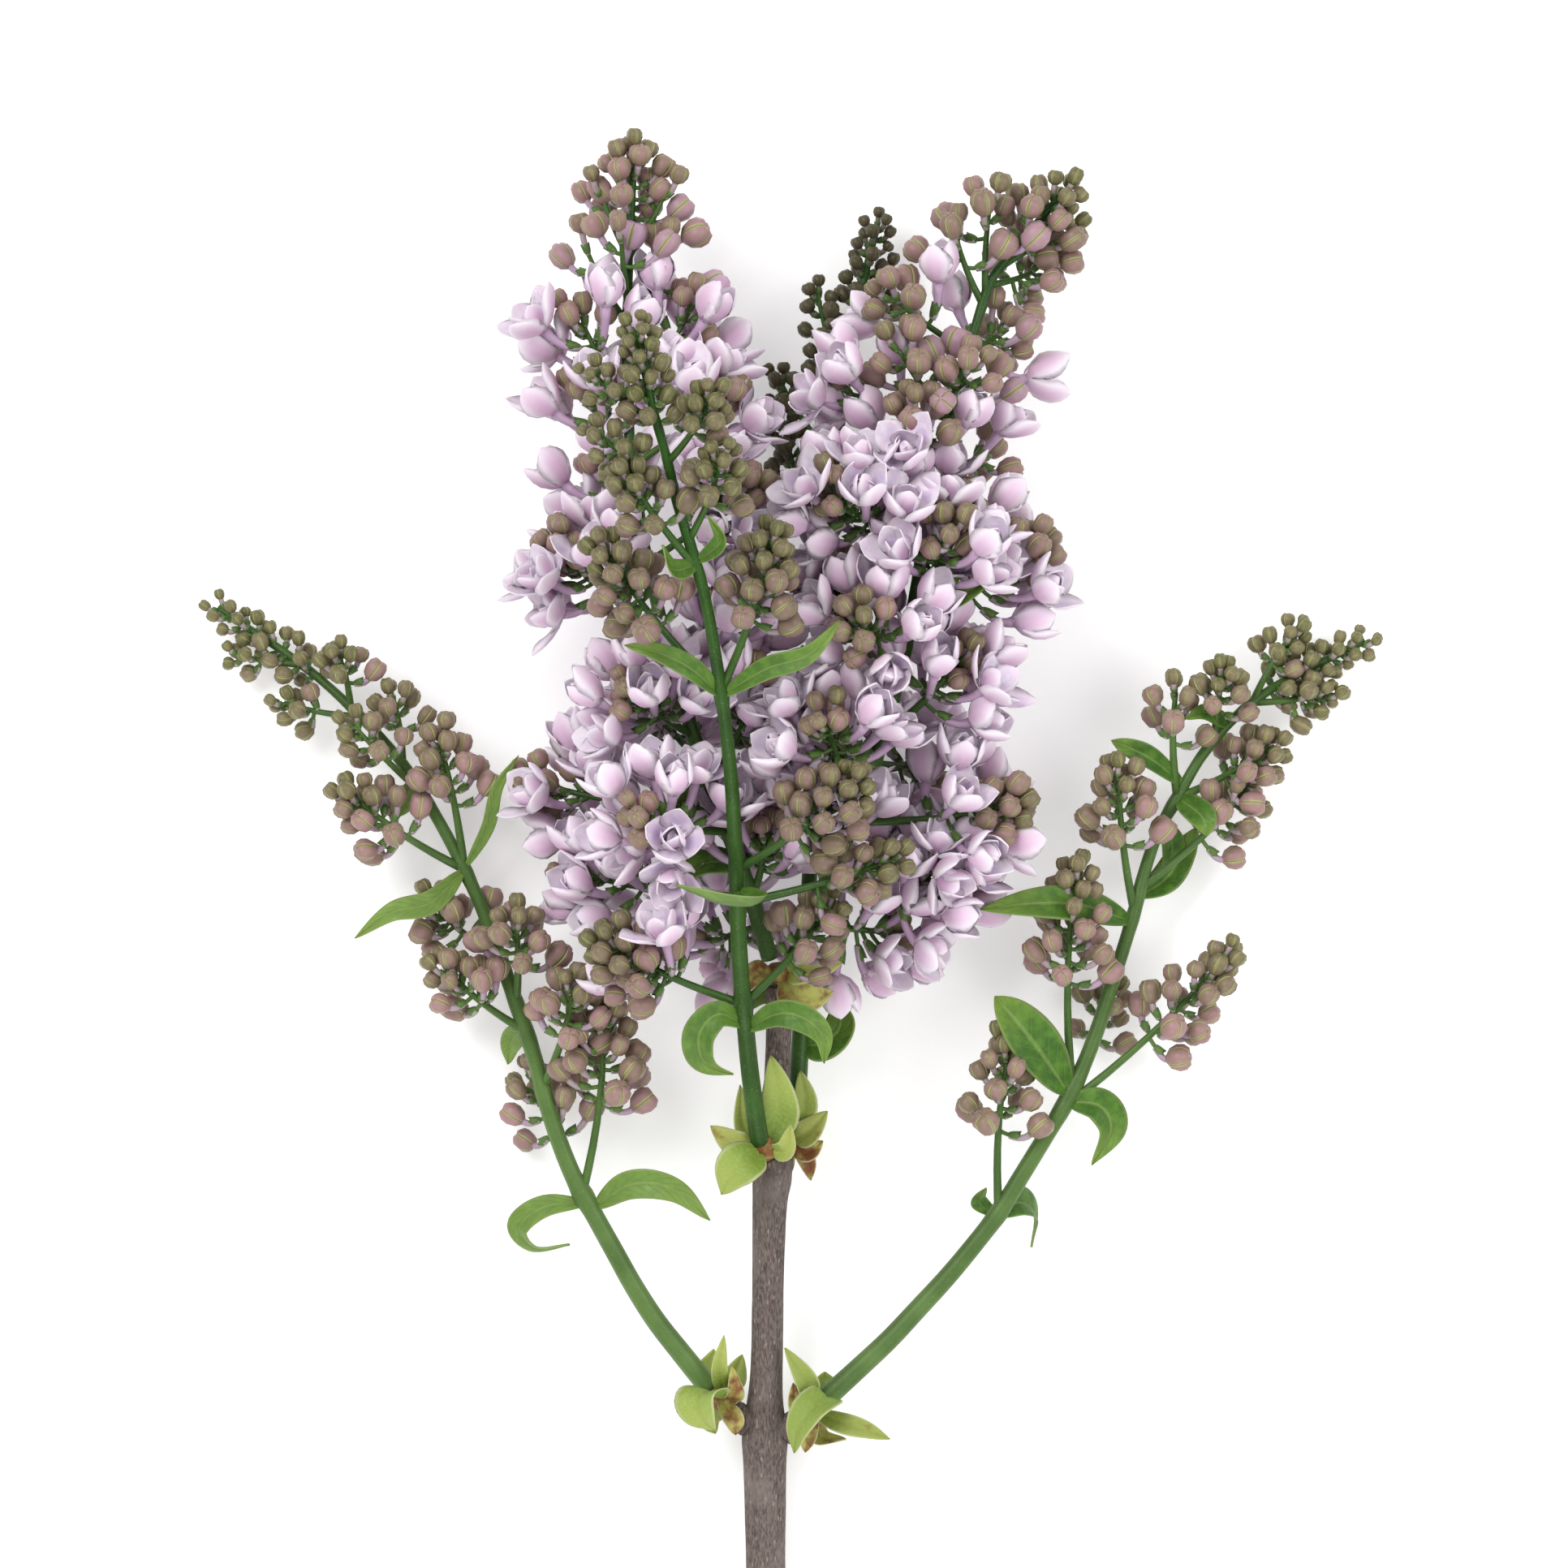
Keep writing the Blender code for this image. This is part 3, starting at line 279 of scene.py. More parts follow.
for start, end, radius in COLLARS.values():
    path = curve_through([start, end], 8)[None]
    swell = radius * np.array([[1.25, 1.3, 1.25, 1.12, 1.05, 0.98, 0.95, 0.8]])
    bodies.append((round_rings(path, swell, 20), {"cork": 0.35, "heart": 0.5, "cut": 0.0}))
stem = skin("stem_of_grey_brown_wood", bodies, bark)
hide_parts("woody_stem")


# The bud scales: the small leathery leaves that wrapped each winter bud. They have opened round the foot of
# every shoot and bend back, yellow-green and paler along their edges, the inner ones yellow and red-brown.
SCALES = {      # the bud's core from foot to top, its radius, and each scale: midrib, half width, brownness
    "left": (((-7.0, 5.1, 12.8), (-11.9, 9.55, 13.35)), 2.5, [
        ([(-11.8, 8.4, 19.4), (-13.9, 7, 21.8), (-13, 3.2, 21.4), (-10.5, 0.6, 19.5)], 5.0, 0.0),
        ([(-9.6, 13, 18.6), (-8.6, 20.4, 19)], 1.7, 0.15),
        ([(-11.6, 12.4, 8.5), (-10.8, 17.2, 9)], 2.9, 0.0),
        ([(-6.6, 11, 8), (-4.8, 16, 7.5)], 2.6, 0.0),
        ([(-6.4, 8, 17.6), (-6.9, 13.8, 19.5)], 2.0, 0.7),
        ([(-6.6, 2.6, 17), (-6.2, -0.6, 16)], 2.1, 0.8),
        ([(-11.6, 2.4, 10.5), (-10.4, -0.6, 10)], 2.2, 0.3),
    ]),
    "right": (((7.2, 2.9, 12.5), (13.1, 7.35, 13.15)), 2.6, [
        ([(13, 7.4, 19.6), (9.6, 5.2, 22.5), (7, 0.8, 22.5), (6.2, -4.2, 20.5)], 3.6, 0.0),
        ([(8.6, 10.5, 18.6), (4.1, 17.8, 19)], 2.4, 0.1),
        ([(12.2, 9.4, 8.2), (12.6, 12.4, 8)], 2.9, 0.0),
        ([(6.6, 5.6, 17.6), (5.9, 10.4, 17.6)], 1.8, 0.6),
        ([(15.5, 2.0, 17.2), (21, 0.5, 18.2), (26.2, -1.5, 16.6)], 2.2, 0.2),
        ([(11.5, -1.4, 11), (17, -1.6, 13)], 2.1, 0.6),
        ([(9, -1.4, 14), (8.4, -4.4, 14)], 1.6, 0.7),
    ]),
    "front": (((0.7, 58.2, 26.0), (-1.1, 61.7, 28.55)), 2.3, [
        ([(-4.2, 57.1, 33.2), (-6.8, 54.6, 33.4), (-9, 50.2, 30.5)], 4.5, 0.0),
        ([(-6, 60.4, 28), (-11.4, 64.4, 27)], 2.9, 0.35),
        ([(2.9, 66, 26.6), (2.6, 72, 28), (1.2, 79.2, 29.5)], 3.9, 0.0),
        ([(4.2, 59.6, 29.5), (5.4, 64.8, 31)], 2.1, 0.2),
        ([(-4.6, 64.6, 26), (-5.2, 73, 27.6)], 2.1, 0.1),
    ]),
    "rear": (((4.2, 59.4, 13.4), (5.6, 63.7, 12.4)), 2.3, [
        ([(9, 63, 15.5), (13.1, 67.3, 16)], 2.8, 0.3),
        ([(8.8, 58.6, 14), (12.2, 61, 14)], 2.3, 0.9),
        ([(8.2, 68.4, 15.5), (7.4, 75.8, 16)], 2.7, 0.1),
        ([(8.6, 57, 11.6), (9.6, 52.6, 11)], 1.9, 0.8),
        ([(3.2, 55.5, 8.6), (2, 50, 8)], 2.6, 0.4),
        ([(0.5, 66, 8.8), (-2, 71, 8)], 2.0, 0.3),
    ]),
    "top": (((3.45, 94.7, 24.25), (3.5, 98.2, 24.9)), 3.3, [
        ([(6.5, 97.2, 29.6), (11, 97.8, 31), (16, 98.5, 29.6)], 3.4, 0.35),
        ([(5.8, 92.2, 29.8), (9.6, 91.2, 30.8), (14.2, 92.6, 29.4)], 3.4, 0.6),
        ([(-2, 96, 30), (-5, 92, 30)], 2.6, 0.7),
        ([(4, 97.4, 18), (3.5, 93, 15)], 2.8, 0.5),
    ]),
}
SCALE_THICKNESS = 0.7
SCALE_GREEN = {"right": 0.9, "rear": 0.7, "front": 0.2}     # how far a bud's scales have turned green


def blade_rings(midrib, towards, half_width, thickness, rows, fold, wave, seed):
    """A leaf or a scale as closed rings. Its midrib is the smooth curve through the given points, and its
    foot lies square to the way from the first of them to the one towards which it heads. Its half width is
    sin(pi * s**0.8)**0.75 of the widest, for s from foot to tip, and never under a stalk's. Across it the
    blade rises by fold * |u|**1.3 from midrib to edge, u from -1 to 1, and its edges wave by a sine."""
    centres = curve_through(midrib, rows)
    along = unit(np.gradient(centres, axis=0))
    across = np.empty_like(along)
    ahead = np.subtract(midrib[towards], midrib[0])
    heading = unit(np.cross(ahead, [0.13, 0.21, 1.0]))
    for row, step in enumerate(along):
        heading = unit(heading - step * float(heading @ step))
        across[row] = heading
    above = np.cross(across, along)
    share = np.linspace(0.0, 1.0, rows)
    spread = np.sin(np.pi * share**0.8).clip(0.0, 1.0) ** 0.75
    width = half_width * np.maximum(spread, np.where(share < 0.5, 0.24, 0.03))
    u = np.array([-1.0, -0.82, -0.5, -0.2, 0.0, 0.2, 0.5, 0.82, 1.0, 0.82, 0.5, 0.2, 0.0, -0.2, -0.5, -0.82])
    face = np.array([0.0] + [1.0] * 7 + [0.0] + [-1.0] * 7)
    body = face * (1.0 - 0.75 * np.abs(u) ** 3) * thickness / 2
    rib = np.where(np.abs(u) < 0.1, -0.35 * thickness * face, 0.0)
    ripple = wave * np.sin(9.0 * share[:, None] + 2.0 * np.sign(u) + seed) * u**2
    lift = fold * width[:, None] * np.abs(u) ** 1.3 + body + rib + ripple * width[:, None]
    side = (width[:, None] * u)[..., None] * across[:, None]
    rings = centres[:, None] + side + lift[..., None] * above[:, None]
    marks = {"along": share[:, None], "across": np.abs(u), "inner": (face > 0).astype(float)}
    marks = {mark: np.broadcast_to(value, rings.shape[:2])[None, :, ::-1] for mark, value in marks.items()}
    return rings[None, :, ::-1], marks


scale_finish = Finish("bud_scale_skin", Roughness=0.5, Specular_IOR_Level=0.35)
along, across, brown, green_share = map(scale_finish.mark, ("along", "across", "brown", "green"))
veins = scale_finish.noise(1500.0, detail=2.0)
colour = scale_finish.blend(scale_finish.rise(along, 0.05, 0.9), (0.17, 0.28, 0.032), (0.34, 0.42, 0.090))
colour = scale_finish.blend(scale_finish.rise(veins, 0.4, 0.7) * 0.3, colour, (0.44, 0.49, 0.16))
colour = scale_finish.blend(green_share * 0.5, colour, (0.145, 0.225, 0.032))
rust = scale_finish.rise(scale_finish.noise(330.0, detail=4.0) + brown * 0.42, 0.66, 0.94)
colour = scale_finish.blend(brown * 0.8, colour, (0.50, 0.40, 0.12))
colour = scale_finish.blend(rust, colour, (0.20, 0.075, 0.025))
colour = scale_finish.blend(scale_finish.rise(across, 0.8, 1.0) * 0.7, colour, (0.70, 0.72, 0.42))
scale_finish.wear(colour, 0.62 - 0.2 * veins, veins, 0.00012)

for side, (core, radius, blades) in SCALES.items():
    foot, top = (np.array(end) for end in core)
    heading = unit(top - foot)
    path = curve_through([foot, top], 6)[None]
    ring = round_rings(path, radius * np.array([[0.85, 1.0, 1.02, 1.0, 0.95, 0.75]]), 24)
    greenness = SCALE_GREEN.get(side, 0.0)
    bodies = [(ring, {"along": 0.0, "across": 0.2, "inner": 0.0, "brown": 0.9, "green": 0.0})]
    for number, (midrib, half_width, brownness) in enumerate(blades):
        outward = np.array(midrib[0]) - foot
        outward = unit(outward - heading * float(outward @ heading))
        root = foot + 0.45 * (top - foot) + 0.6 * radius * outward
        rings, marks = blade_rings(
            [root, *midrib], towards=-1, half_width=half_width * 1.06, thickness=SCALE_THICKNESS,
            rows=22, fold=0.3, wave=0.10, seed=number,
        )
        bodies.append((rings, {**marks, "brown": brownness, "green": greenness}))
    scales = skin("opened_bud_scales_" + side, bodies, scale_finish)
    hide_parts("bud_scales_" + side)


# The green shoots: this year's soft growth, one from each opened bud. Each is a smooth round stalk, green and
# finely specked, which thins towards its tip and carries the side branches of its panicle in pairs. A side
# branch is its y on the shoot, its tip, its florets as counted, the width of its buds and the share in bloom.
SHOOTS = {
    "left": {"radii": (2.3, 0.75), "tip_from": 123, "fullness": 1.3, "line": [
        (-12.2, 9.8, 13.4), (-18, 17, 14), (-25, 26, 15), (-35, 44, 16), (-41, 55, 16.5), (-45, 66, 16.5),
        (-49, 81, 16), (-54, 95, 15.5), (-59, 109, 15), (-64, 120, 14.5), (-70, 131, 14), (-78, 143, 13),
        (-88, 153, 12), (-97, 161, 9.5), (-107, 167.5, 7.5), (-115, 173, 6),
    ], "sprays": [
        (50, (-34, 88, 22), 17, 6.4, 0), (50, (-49, 74, 8), 9, 6.2, 0), (72, (-40, 93, 29), 11, 6.2, 0),
        (84, (-66, 96, 17), 10, 6.0, 0), (90, (-52, 106, 25), 9, 6.4, 0), (99, (-69, 110, 11), 9, 6.0, 0),
        (118, (-86, 133, 19), 14, 6.0, 0), (118, (-68, 144, 20), 11, 6.0, 0),
        (134, (-86, 148, 22), 8, 5.2, 0), (140, (-78, 154, 14), 6, 5.2, 0),
        (150, (-101, 153, 11), 6, 4.6, 0), (152, (-89, 162, 16), 7, 4.8, 0),
        (161, (-111, 163, 9), 5, 4.2, 0), (156, (-115, 173, 9), 18, 4.2, 0),
    ]},
    "right": {"radii": (2.3, 0.8), "tip_from": 138, "fullness": 1.3, "line": [
        (13.4, 7.6, 13.2), (19.2, 12.9, 14), (26.5, 19.8, 15), (37.6, 31.8, 16), (47.6, 43.8, 17),
        (55, 55.8, 17.5), (62.3, 67.8, 17.5), (68.2, 79.8, 17), (73, 95, 16.5), (77, 107, 16),
        (79, 116, 16), (82.5, 126, 15.5), (87, 134, 15), (91, 141, 14.5), (98, 149.5, 12.5),
        (106, 156, 10.5), (115, 160.5, 8.5), (126, 166, 6.5),
    ], "sprays": [
        (46, (51, 80, 24), 14, 6.0, 0), (72, (65, 116, 25), 19, 6.0, 0), (68, (96, 99, 18), 16, 6.0, 0),
        (74, (72, 92, 7), 7, 5.6, 0), (109, (74, 137, 24), 12, 6.0, 0), (114, (102, 136, 12), 10, 5.8, 0),
        (133, (86, 155, 22), 6, 5.8, 0), (133, (105, 143, 13), 12, 5.6, 0),
        (145, (96, 158, 20), 10, 5.0, 0), (153, (111, 168, 12), 9, 4.4, 0),
        (153, (118, 155, 10), 9, 4.4, 0), (154, (126, 166, 10.5), 19, 4.2, 0),
    ]},
    "front": {"radii": (2.0, 0.8), "tip_from": 184, "fullness": 1.7, "line": [
        (-1.25, 62.0, 28.8), (-2.4, 70, 32), (-3.4, 78, 34), (-4.3, 88, 38), (-5, 95, 41), (-5.6, 107, 46),
        (-6, 121, 52), (-7, 138, 60), (-8.5, 151, 66), (-11, 168, 74), (-13.6, 180, 79), (-17, 190, 82),
        (-20.4, 204, 86), (-23.8, 216, 89), (-26, 229, 91),
    ], "sprays": [
        (90, (-31, 102, 45), 15, 6.6, 0.1), (90, (12, 109, 45), 9, 6.2, 0),
        (118, (17, 135, 61), 17, 6.2, 0), (111, (26, 120, 53), 9, 6.2, 0),
        (155, (-32, 183, 78), 14, 6.2, 0), (155, (1, 185, 78), 14, 6.0, 0),
        (180, (-28, 199, 88), 10, 5.4, 0), (186, (-9, 203, 92), 8, 5.2, 0),
        (196, (-34, 208, 88), 6, 4.8, 0), (202, (-11, 215, 94), 8, 4.8, 0),
        (210, (-35, 220, 90), 6, 4.6, 0), (208, (-26, 229, 91), 16, 4.6, 0),
    ]},
    "rear": {"radii": (2.0, 0.75), "tip_from": 122, "fullness": 1.5, "line": [
        (5.75, 64.15, 12.3), (6.8, 72, 11.9), (7.6, 85, 11.5), (8.5, 100, 10.6), (9.5, 120, 10),
        (10.5, 140, 10), (11.5, 160, 10), (12.5, 180, 10), (14, 200, 10.5), (17, 220, 11), (20, 239, 11),
        (23.5, 253, 10.5),
    ], "sprays": [
        (130, (-5, 152, 8), 7, 5.0, 0), (140, (25, 162, 8), 7, 5.0, 0), (186, (4, 210, 9), 10, 4.8, 0),
        (186, (26, 207, 8), 9, 4.8, 0), (204, (3, 221, 10), 7, 4.6, 0), (212, (13, 229, 17), 6, 4.4, 0),
        (220, (11, 239, 10), 6, 4.2, 0), (228, (26, 243, 8), 5, 4.0, 0),
        (234, (23.5, 253, 10.5), 13, 4.0, 0),
    ]},
    "top_left": {"radii": (1.8, 0.8), "tip_from": 164, "fullness": 1.45, "line": [
        (1.0, 99.4, 25.4), (-2, 110, 29), (-8, 127, 34), (-14, 143, 37), (-20, 163, 39), (-25, 184, 39),
        (-28, 204, 37), (-29, 224, 33), (-28.5, 243, 30), (-27.5, 266, 28),
    ], "sprays": [
        (106, (-10, 103, 17), 8, 7.0, 0.8), (112, (-38, 117, 24), 11, 7.0, 0.7),
        (130, (-47, 136, 22), 12, 7.2, 0.45), (126, (-25, 129, 56), 12, 7.0, 0.7),
        (146, (-26, 154, 48), 12, 7.2, 0.65), (140, (-22, 150, 9), 8, 7.0, 0.8),
        (112, (0, 124, 34), 9, 7.2, 0.6), (136, (-2, 156, 44), 9, 7.2, 0.65),
        (152, (-6, 174, 46), 10, 7.2, 0.6), (166, (-41, 184, 42), 13, 7.2, 0.55),
        (182, (-6, 196, 50), 12, 7.2, 0.6), (184, (-33, 202, 27), 8, 7.2, 0.45),
        (201, (-36, 216, 36), 7, 7.2, 0.5), (202, (-11, 216, 41), 8, 7.2, 0.6),
        (216, (-16, 234, 34), 7, 7.2, 0.5), (216, (-38, 232, 34), 7, 7.2, 0.5),
        (232, (-37, 247, 30), 2, 7.6, 0), (232, (-20, 247, 32), 2, 7.6, 0),
        (236, (-30, 250, 38), 2, 7.4, 0), (246, (-34, 259, 27), 2, 6.8, 0),
        (246, (-21, 259, 30), 2, 6.8, 0), (253, (-27.5, 266, 28), 11, 6.4, 0),
    ]},
    "top_right": {"radii": (1.8, 0.8), "tip_from": 162, "fullness": 1.45, "line": [
        (6.0, 99.4, 25.0), (10, 109, 28), (16, 122, 32), (22, 138, 36), (26, 150, 38), (30, 168, 40),
        (33, 185, 40), (36, 202, 38), (41, 222, 35), (47, 241, 32), (55, 251, 30), (62, 259, 28),
    ], "sprays": [
        (107, (25, 105, 24), 10, 7.0, 0.8), (114, (41, 117, 28), 13, 7.0, 0.7),
        (128, (49, 131, 36), 14, 7.2, 0.45), (132, (13, 149, 60), 12, 7.0, 0.65),
        (146, (40, 161, 44), 11, 7.0, 0.6), (140, (33, 139, 8), 10, 7.0, 0.7),
        (118, (12, 131, 38), 9, 7.2, 0.6), (134, (12, 150, 34), 9, 7.2, 0.65),
        (152, (14, 178, 40), 10, 7.2, 0.6), (164, (20, 169, 62), 12, 7.0, 0.5),
        (166, (54, 185, 40), 12, 7.4, 0.4), (172, (38, 188, 58), 10, 7.2, 0.5),
        (182, (15, 196, 57), 14, 7.2, 0.65), (186, (39, 191, 44), 7, 7.2, 0.45),
        (198, (31, 212, 50), 8, 7.2, 0.25), (212, (18, 217, 42), 4, 7.2, 0.8),
        (212, (28, 226, 46), 5, 7.2, 0), (202, (45, 204, 32), 5, 7.2, 0.5), (213, (42, 222, 49), 6, 7.2, 0),
        (226, (27, 237, 36), 5, 7.2, 0.3), (226, (49, 230, 28), 7, 7.0, 0.2),
        (236, (40, 250, 34), 3, 7.0, 0), (238, (47, 257, 34), 4, 6.8, 0), (240, (56, 243, 26), 6, 6.4, 0),
        (244, (62, 253, 26), 6, 5.8, 0), (248, (62, 259, 28), 11, 5.6, 0),
    ]},
}
DEEP_GREEN = {"front": 0.85, "rear": 0.9, "top_left": 0.7, "top_right": 0.75, "left": 0.12, "right": 0.15}
TWIG_ROWS, TWIG_RADII = 9, (0.95, 0.52)


def reached_along(line):
    """How far along a line of points each of them lies."""
    return np.concatenate([[0.0], np.cumsum(np.linalg.norm(np.diff(line, axis=0), axis=1))])


def point_at(line, share):
    """The point that lies this share of the way along a line of points, by its length."""
    reached = reached_along(line)
    return np.array([np.interp(share * reached[-1], reached, line[:, axis]) for axis in range(3)])


def share_at_y(line, y):
    """How far along a shoot's line it crosses this y."""
    reached = reached_along(line)
    return float(np.interp(y, line[:, 1], reached) / reached[-1])


def stretch(line, start, end, points):
    """Part of a line, from one share of its length to another, as evenly spaced points."""
    return np.array([point_at(line, share) for share in np.linspace(start, end, points)])


def bent(start, middle, end, share):
    """The quadratic curve from start to end that is drawn towards its middle point."""
    return (1 - share) ** 2 * start + 2 * share * (1 - share) * middle + share**2 * end


def branch_line(shoot_line, leave_y, tip):
    """A side branch leaves its shoot outwards and bends up along it: one quadratic curve, as six points."""
    start = point_at(shoot_line, share_at_y(shoot_line, leave_y))
    ahead = point_at(shoot_line, share_at_y(shoot_line, leave_y + 4.0))
    direction = unit(ahead - start)
    reach = tip - start
    outward = reach - direction * float(reach @ direction)
    middle = start + 0.5 * reach + 0.16 * outward
    return bent(start, middle, tip, np.linspace(0.0, 1.0, 6)[:, None])


sprays = []
for number, (shoot, plan) in enumerate(SHOOTS.items()):
    shoot_line = np.array(plan["line"], float)
    for index, (leave_y, tip, count, bud, open_share) in enumerate(plan["sprays"]):
        is_last = index == len(plan["sprays"]) - 1
        if is_last:
            line = stretch(shoot_line, share_at_y(shoot_line, leave_y), 1.0, 5)
        else:
            line = branch_line(shoot_line, leave_y, np.array(tip, float))
        sprays.append({
            "shoot": shoot, "node": f"{shoot}_spray_{index + 1}", "seed": 100 * number + index, "line": line,
            "is_last": is_last, "at_tip": leave_y >= plan["tip_from"],
            "count": round(count * plan["fullness"]), "bud": bud, "open_share": open_share,
        })

green = Finish("green_stalk_skin", Roughness=0.5, Specular_IOR_Level=0.25)
specks = green.noise(2600.0, detail=2.0)
clouds = green.noise(90.0)
deep_green_and_painted_shade = green.mark("deep_green_and_painted_shade")
light_green = green.blend(green.rise(clouds, 0.3, 0.7), (0.085, 0.155, 0.038), (0.125, 0.215, 0.056))
dark_green = green.blend(green.rise(clouds, 0.3, 0.7), (0.013, 0.052, 0.004), (0.026, 0.088, 0.008))
colour = green.blend(deep_green_and_painted_shade, light_green, dark_green)
colour = green.blend(green.rise(specks, 0.60, 0.74) * 0.35, colour, (0.24, 0.33, 0.15))
green.wear(colour, 0.5 - 0.25 * specks, specks, 0.00005)

stalks = {}
for shoot, plan in SHOOTS.items():
    line = np.array(plan["line"], float)
    path = curve_through(stretch(line, 0.0, 1.0, 24), 150)
    if shoot in SCALES:
        core_top = np.array(SCALES[shoot][0][1])
        path = np.vstack([core_top - 0.8 * unit(path[1] - path[0]), path])
    taper = np.linspace(plan["radii"][0], plan["radii"][1], len(path))
    share = np.linspace(0.0, 1.0, len(path))
    own = [spray for spray in sprays if spray["shoot"] == shoot and not spray["is_last"]]
    for spray in own:
        forks_at = np.linalg.norm(path - spray["line"][0], axis=1).argmin() / len(path)
        taper = taper * (1.0 + 0.10 * np.exp(-((share - forks_at) / 0.012) ** 2))
    deepness = np.clip(DEEP_GREEN[shoot] * (1.0 - 0.5 * share) + 0.7 * share**1.5, 0.0, 1.0)
    stalks[shoot] = [(round_rings(path[None], taper[None], 18), {"deep_green_and_painted_shade": deepness[None, :, None]})]
    twigs = np.array([curve_through(spray["line"], TWIG_ROWS) for spray in own])
    slimmer = np.array([0.85 if spray["at_tip"] else 1.0 for spray in own])[:, None]
    twig_rings = round_rings(twigs, np.linspace(*TWIG_RADII, TWIG_ROWS) * slimmer, 10)
    stalks[shoot].append((twig_rings, {"deep_green_and_painted_shade": 0.35 + 0.5 * DEEP_GREEN[shoot]}))


# The leaves: small lance-shaped ones in pairs where the side branches leave. They are thin and soft, mid
# green with a pale sunk midrib and a yellow-green edge, and many of them curl right back on themselves.
LEAVES = {      # each leaf's midrib from foot to tip, and its half width
    "left": [
        ([(-36, 47, 16), (-28, 52, 21), (-19, 51, 23), (-11.5, 44.5, 21)], 3.0),
        ([(-37, 48, 16), (-46, 47.3, 16), (-51.5, 43, 14), (-48.3, 38.6, 12), (-41, 39.2, 11)], 2.6),
        ([(-63, 118, 15), (-70, 111, 20), (-78, 109, 21), (-86, 103.5, 18)], 2.5),
        ([(-63, 118, 15), (-58, 127, 19), (-56, 135, 22), (-51.5, 142, 23)], 1.4),
        ([(-50, 85, 16), (-53, 82, 11), (-54, 77, 8)], 2.5),
        ([(-74, 137, 13.5), (-75, 133, 10), (-77, 129, 8)], 2.2),
    ],
    "right": [
        ([(48.6, 45.3, 17), (53, 48, 13), (56.5, 45.5, 9), (56, 38.5, 7)], 3.4),
        ([(48.4, 45.3, 17), (45, 48, 13), (46.5, 51, 10)], 1.8),
        ([(63.8, 70.8, 17.5), (57.5, 80, 24), (52, 87, 27), (48, 91.5, 27)], 5.0),
        ([(63.2, 69.3, 17.5), (70, 68.5, 19), (72.5, 63.5, 18), (68.5, 56, 15)], 3.6),
        ([(77, 107, 16), (66, 110.5, 25), (56, 111, 29), (45, 109.7, 31)], 3.6),
        ([(78, 112, 16), (84, 116, 10), (88, 122, 9), (91, 127, 10)], 3.2),
        ([(88, 135.5, 15), (81, 141, 20), (76, 143.5, 22), (72.5, 145, 21)], 2.3),
        ([(86.5, 133, 15), (91.5, 129, 21), (92.5, 125, 22)], 3.0),
        ([(83.5, 128, 15.3), (85.5, 122, 10), (82.5, 115, 8)], 2.6),
        ([(97, 148, 13.2), (92, 151, 19), (88, 149.5, 21)], 1.7),
    ],
    "front": [
        ([
            (-4.2, 85.5, 37), (-9.5, 88, 42), (-13.4, 84.5, 42), (-13.6, 80, 40), (-11.4, 77, 38),
            (-6.6, 75.4, 36),
        ], 3.3),
        ([(-4.1, 84.5, 36.6), (2.5, 88, 43), (8, 87.2, 45), (12, 83.5, 43), (12.3, 77.7, 41)], 2.9),
        ([(-5.8, 114, 49), (-2, 111, 58), (-9, 111.5, 61), (-18.5, 115, 59)], 3.2),
        ([(-9, 154, 67.4), (-15, 159.5, 73), (-22, 163, 75), (-29, 164.5, 75)], 2.3),
        ([(-9, 154, 67.4), (0, 159.5, 73), (9, 162.5, 76), (15.5, 169.5, 77)], 2.3),
        ([(-14, 181, 79.3), (-19, 180, 84), (-21, 185, 87)], 2.2),
        ([(-14, 181.5, 79.4), (-9, 186, 84), (-11.5, 191, 86)], 1.7),
    ],
    "rear": [
        ([(7.4, 81, 11.6), (12, 81.6, 13), (15.6, 85, 13), (15, 91, 10)], 4.2),
        ([(7.8, 88, 11.3), (1, 92, 9), (-4, 88, 7)], 3.0),
        ([(10.3, 136, 10), (17, 141, 6), (22, 138, 4)], 2.5),
    ],
    "top_left": [
        ([(-5, 118.5, 31.5), (-12, 119.5, 27), (-20.5, 114, 25)], 3.0),
        ([(-11, 135, 35.5), (-15, 133, 30), (-20, 128, 29)], 2.4),
    ],
    "top_right": [
        ([(23, 141, 36.7), (20, 142, 46), (14, 145, 50)], 2.6),
        ([(31, 173, 40), (39, 174, 47), (47.5, 178.5, 49)], 2.4),
    ],
}
LEAF_THICKNESS = 0.55
LEAF_LIGHT = {"left": 0.45, "front": 0.12}      # how much of a lighter green a shoot's leaves have

leaf_finish = Finish("leaf_skin", Roughness=0.45, Specular_IOR_Level=0.3)
along, across, inner, light = map(leaf_finish.mark, ("along", "across", "inner", "light"))
mottle = leaf_finish.noise(420.0, detail=4.0)
colour = leaf_finish.blend(leaf_finish.rise(mottle, 0.35, 0.7), (0.038, 0.115, 0.010), (0.085, 0.20, 0.020))
colour = leaf_finish.blend(leaf_finish.rise(along, 0.4, 1.0) * 0.5, colour, (0.24, 0.36, 0.055))
colour = leaf_finish.blend(light, colour, (0.25, 0.36, 0.085))
rib = 1.0 - leaf_finish.rise(across, 0.03, 0.14)
side_veins = leaf_finish.maths("SINE", along * 60.0 - across * 14.0)
side_veins = leaf_finish.rise(side_veins, 0.86, 1.0) * (1.0 - leaf_finish.rise(across, 0.75, 0.95))
colour = leaf_finish.blend(rib * 0.4 + side_veins * 0.2, colour, (0.25, 0.36, 0.10))
colour = leaf_finish.blend(leaf_finish.rise(across, 0.84, 1.0) * 0.6, colour, (0.36, 0.44, 0.12))
colour = leaf_finish.blend((1.0 - inner) * 0.3, colour, (0.24, 0.34, 0.14))
leaf_finish.wear(colour, 0.55 - 0.2 * mottle, side_veins * 0.5 - rib + mottle * 0.4, 0.00014)

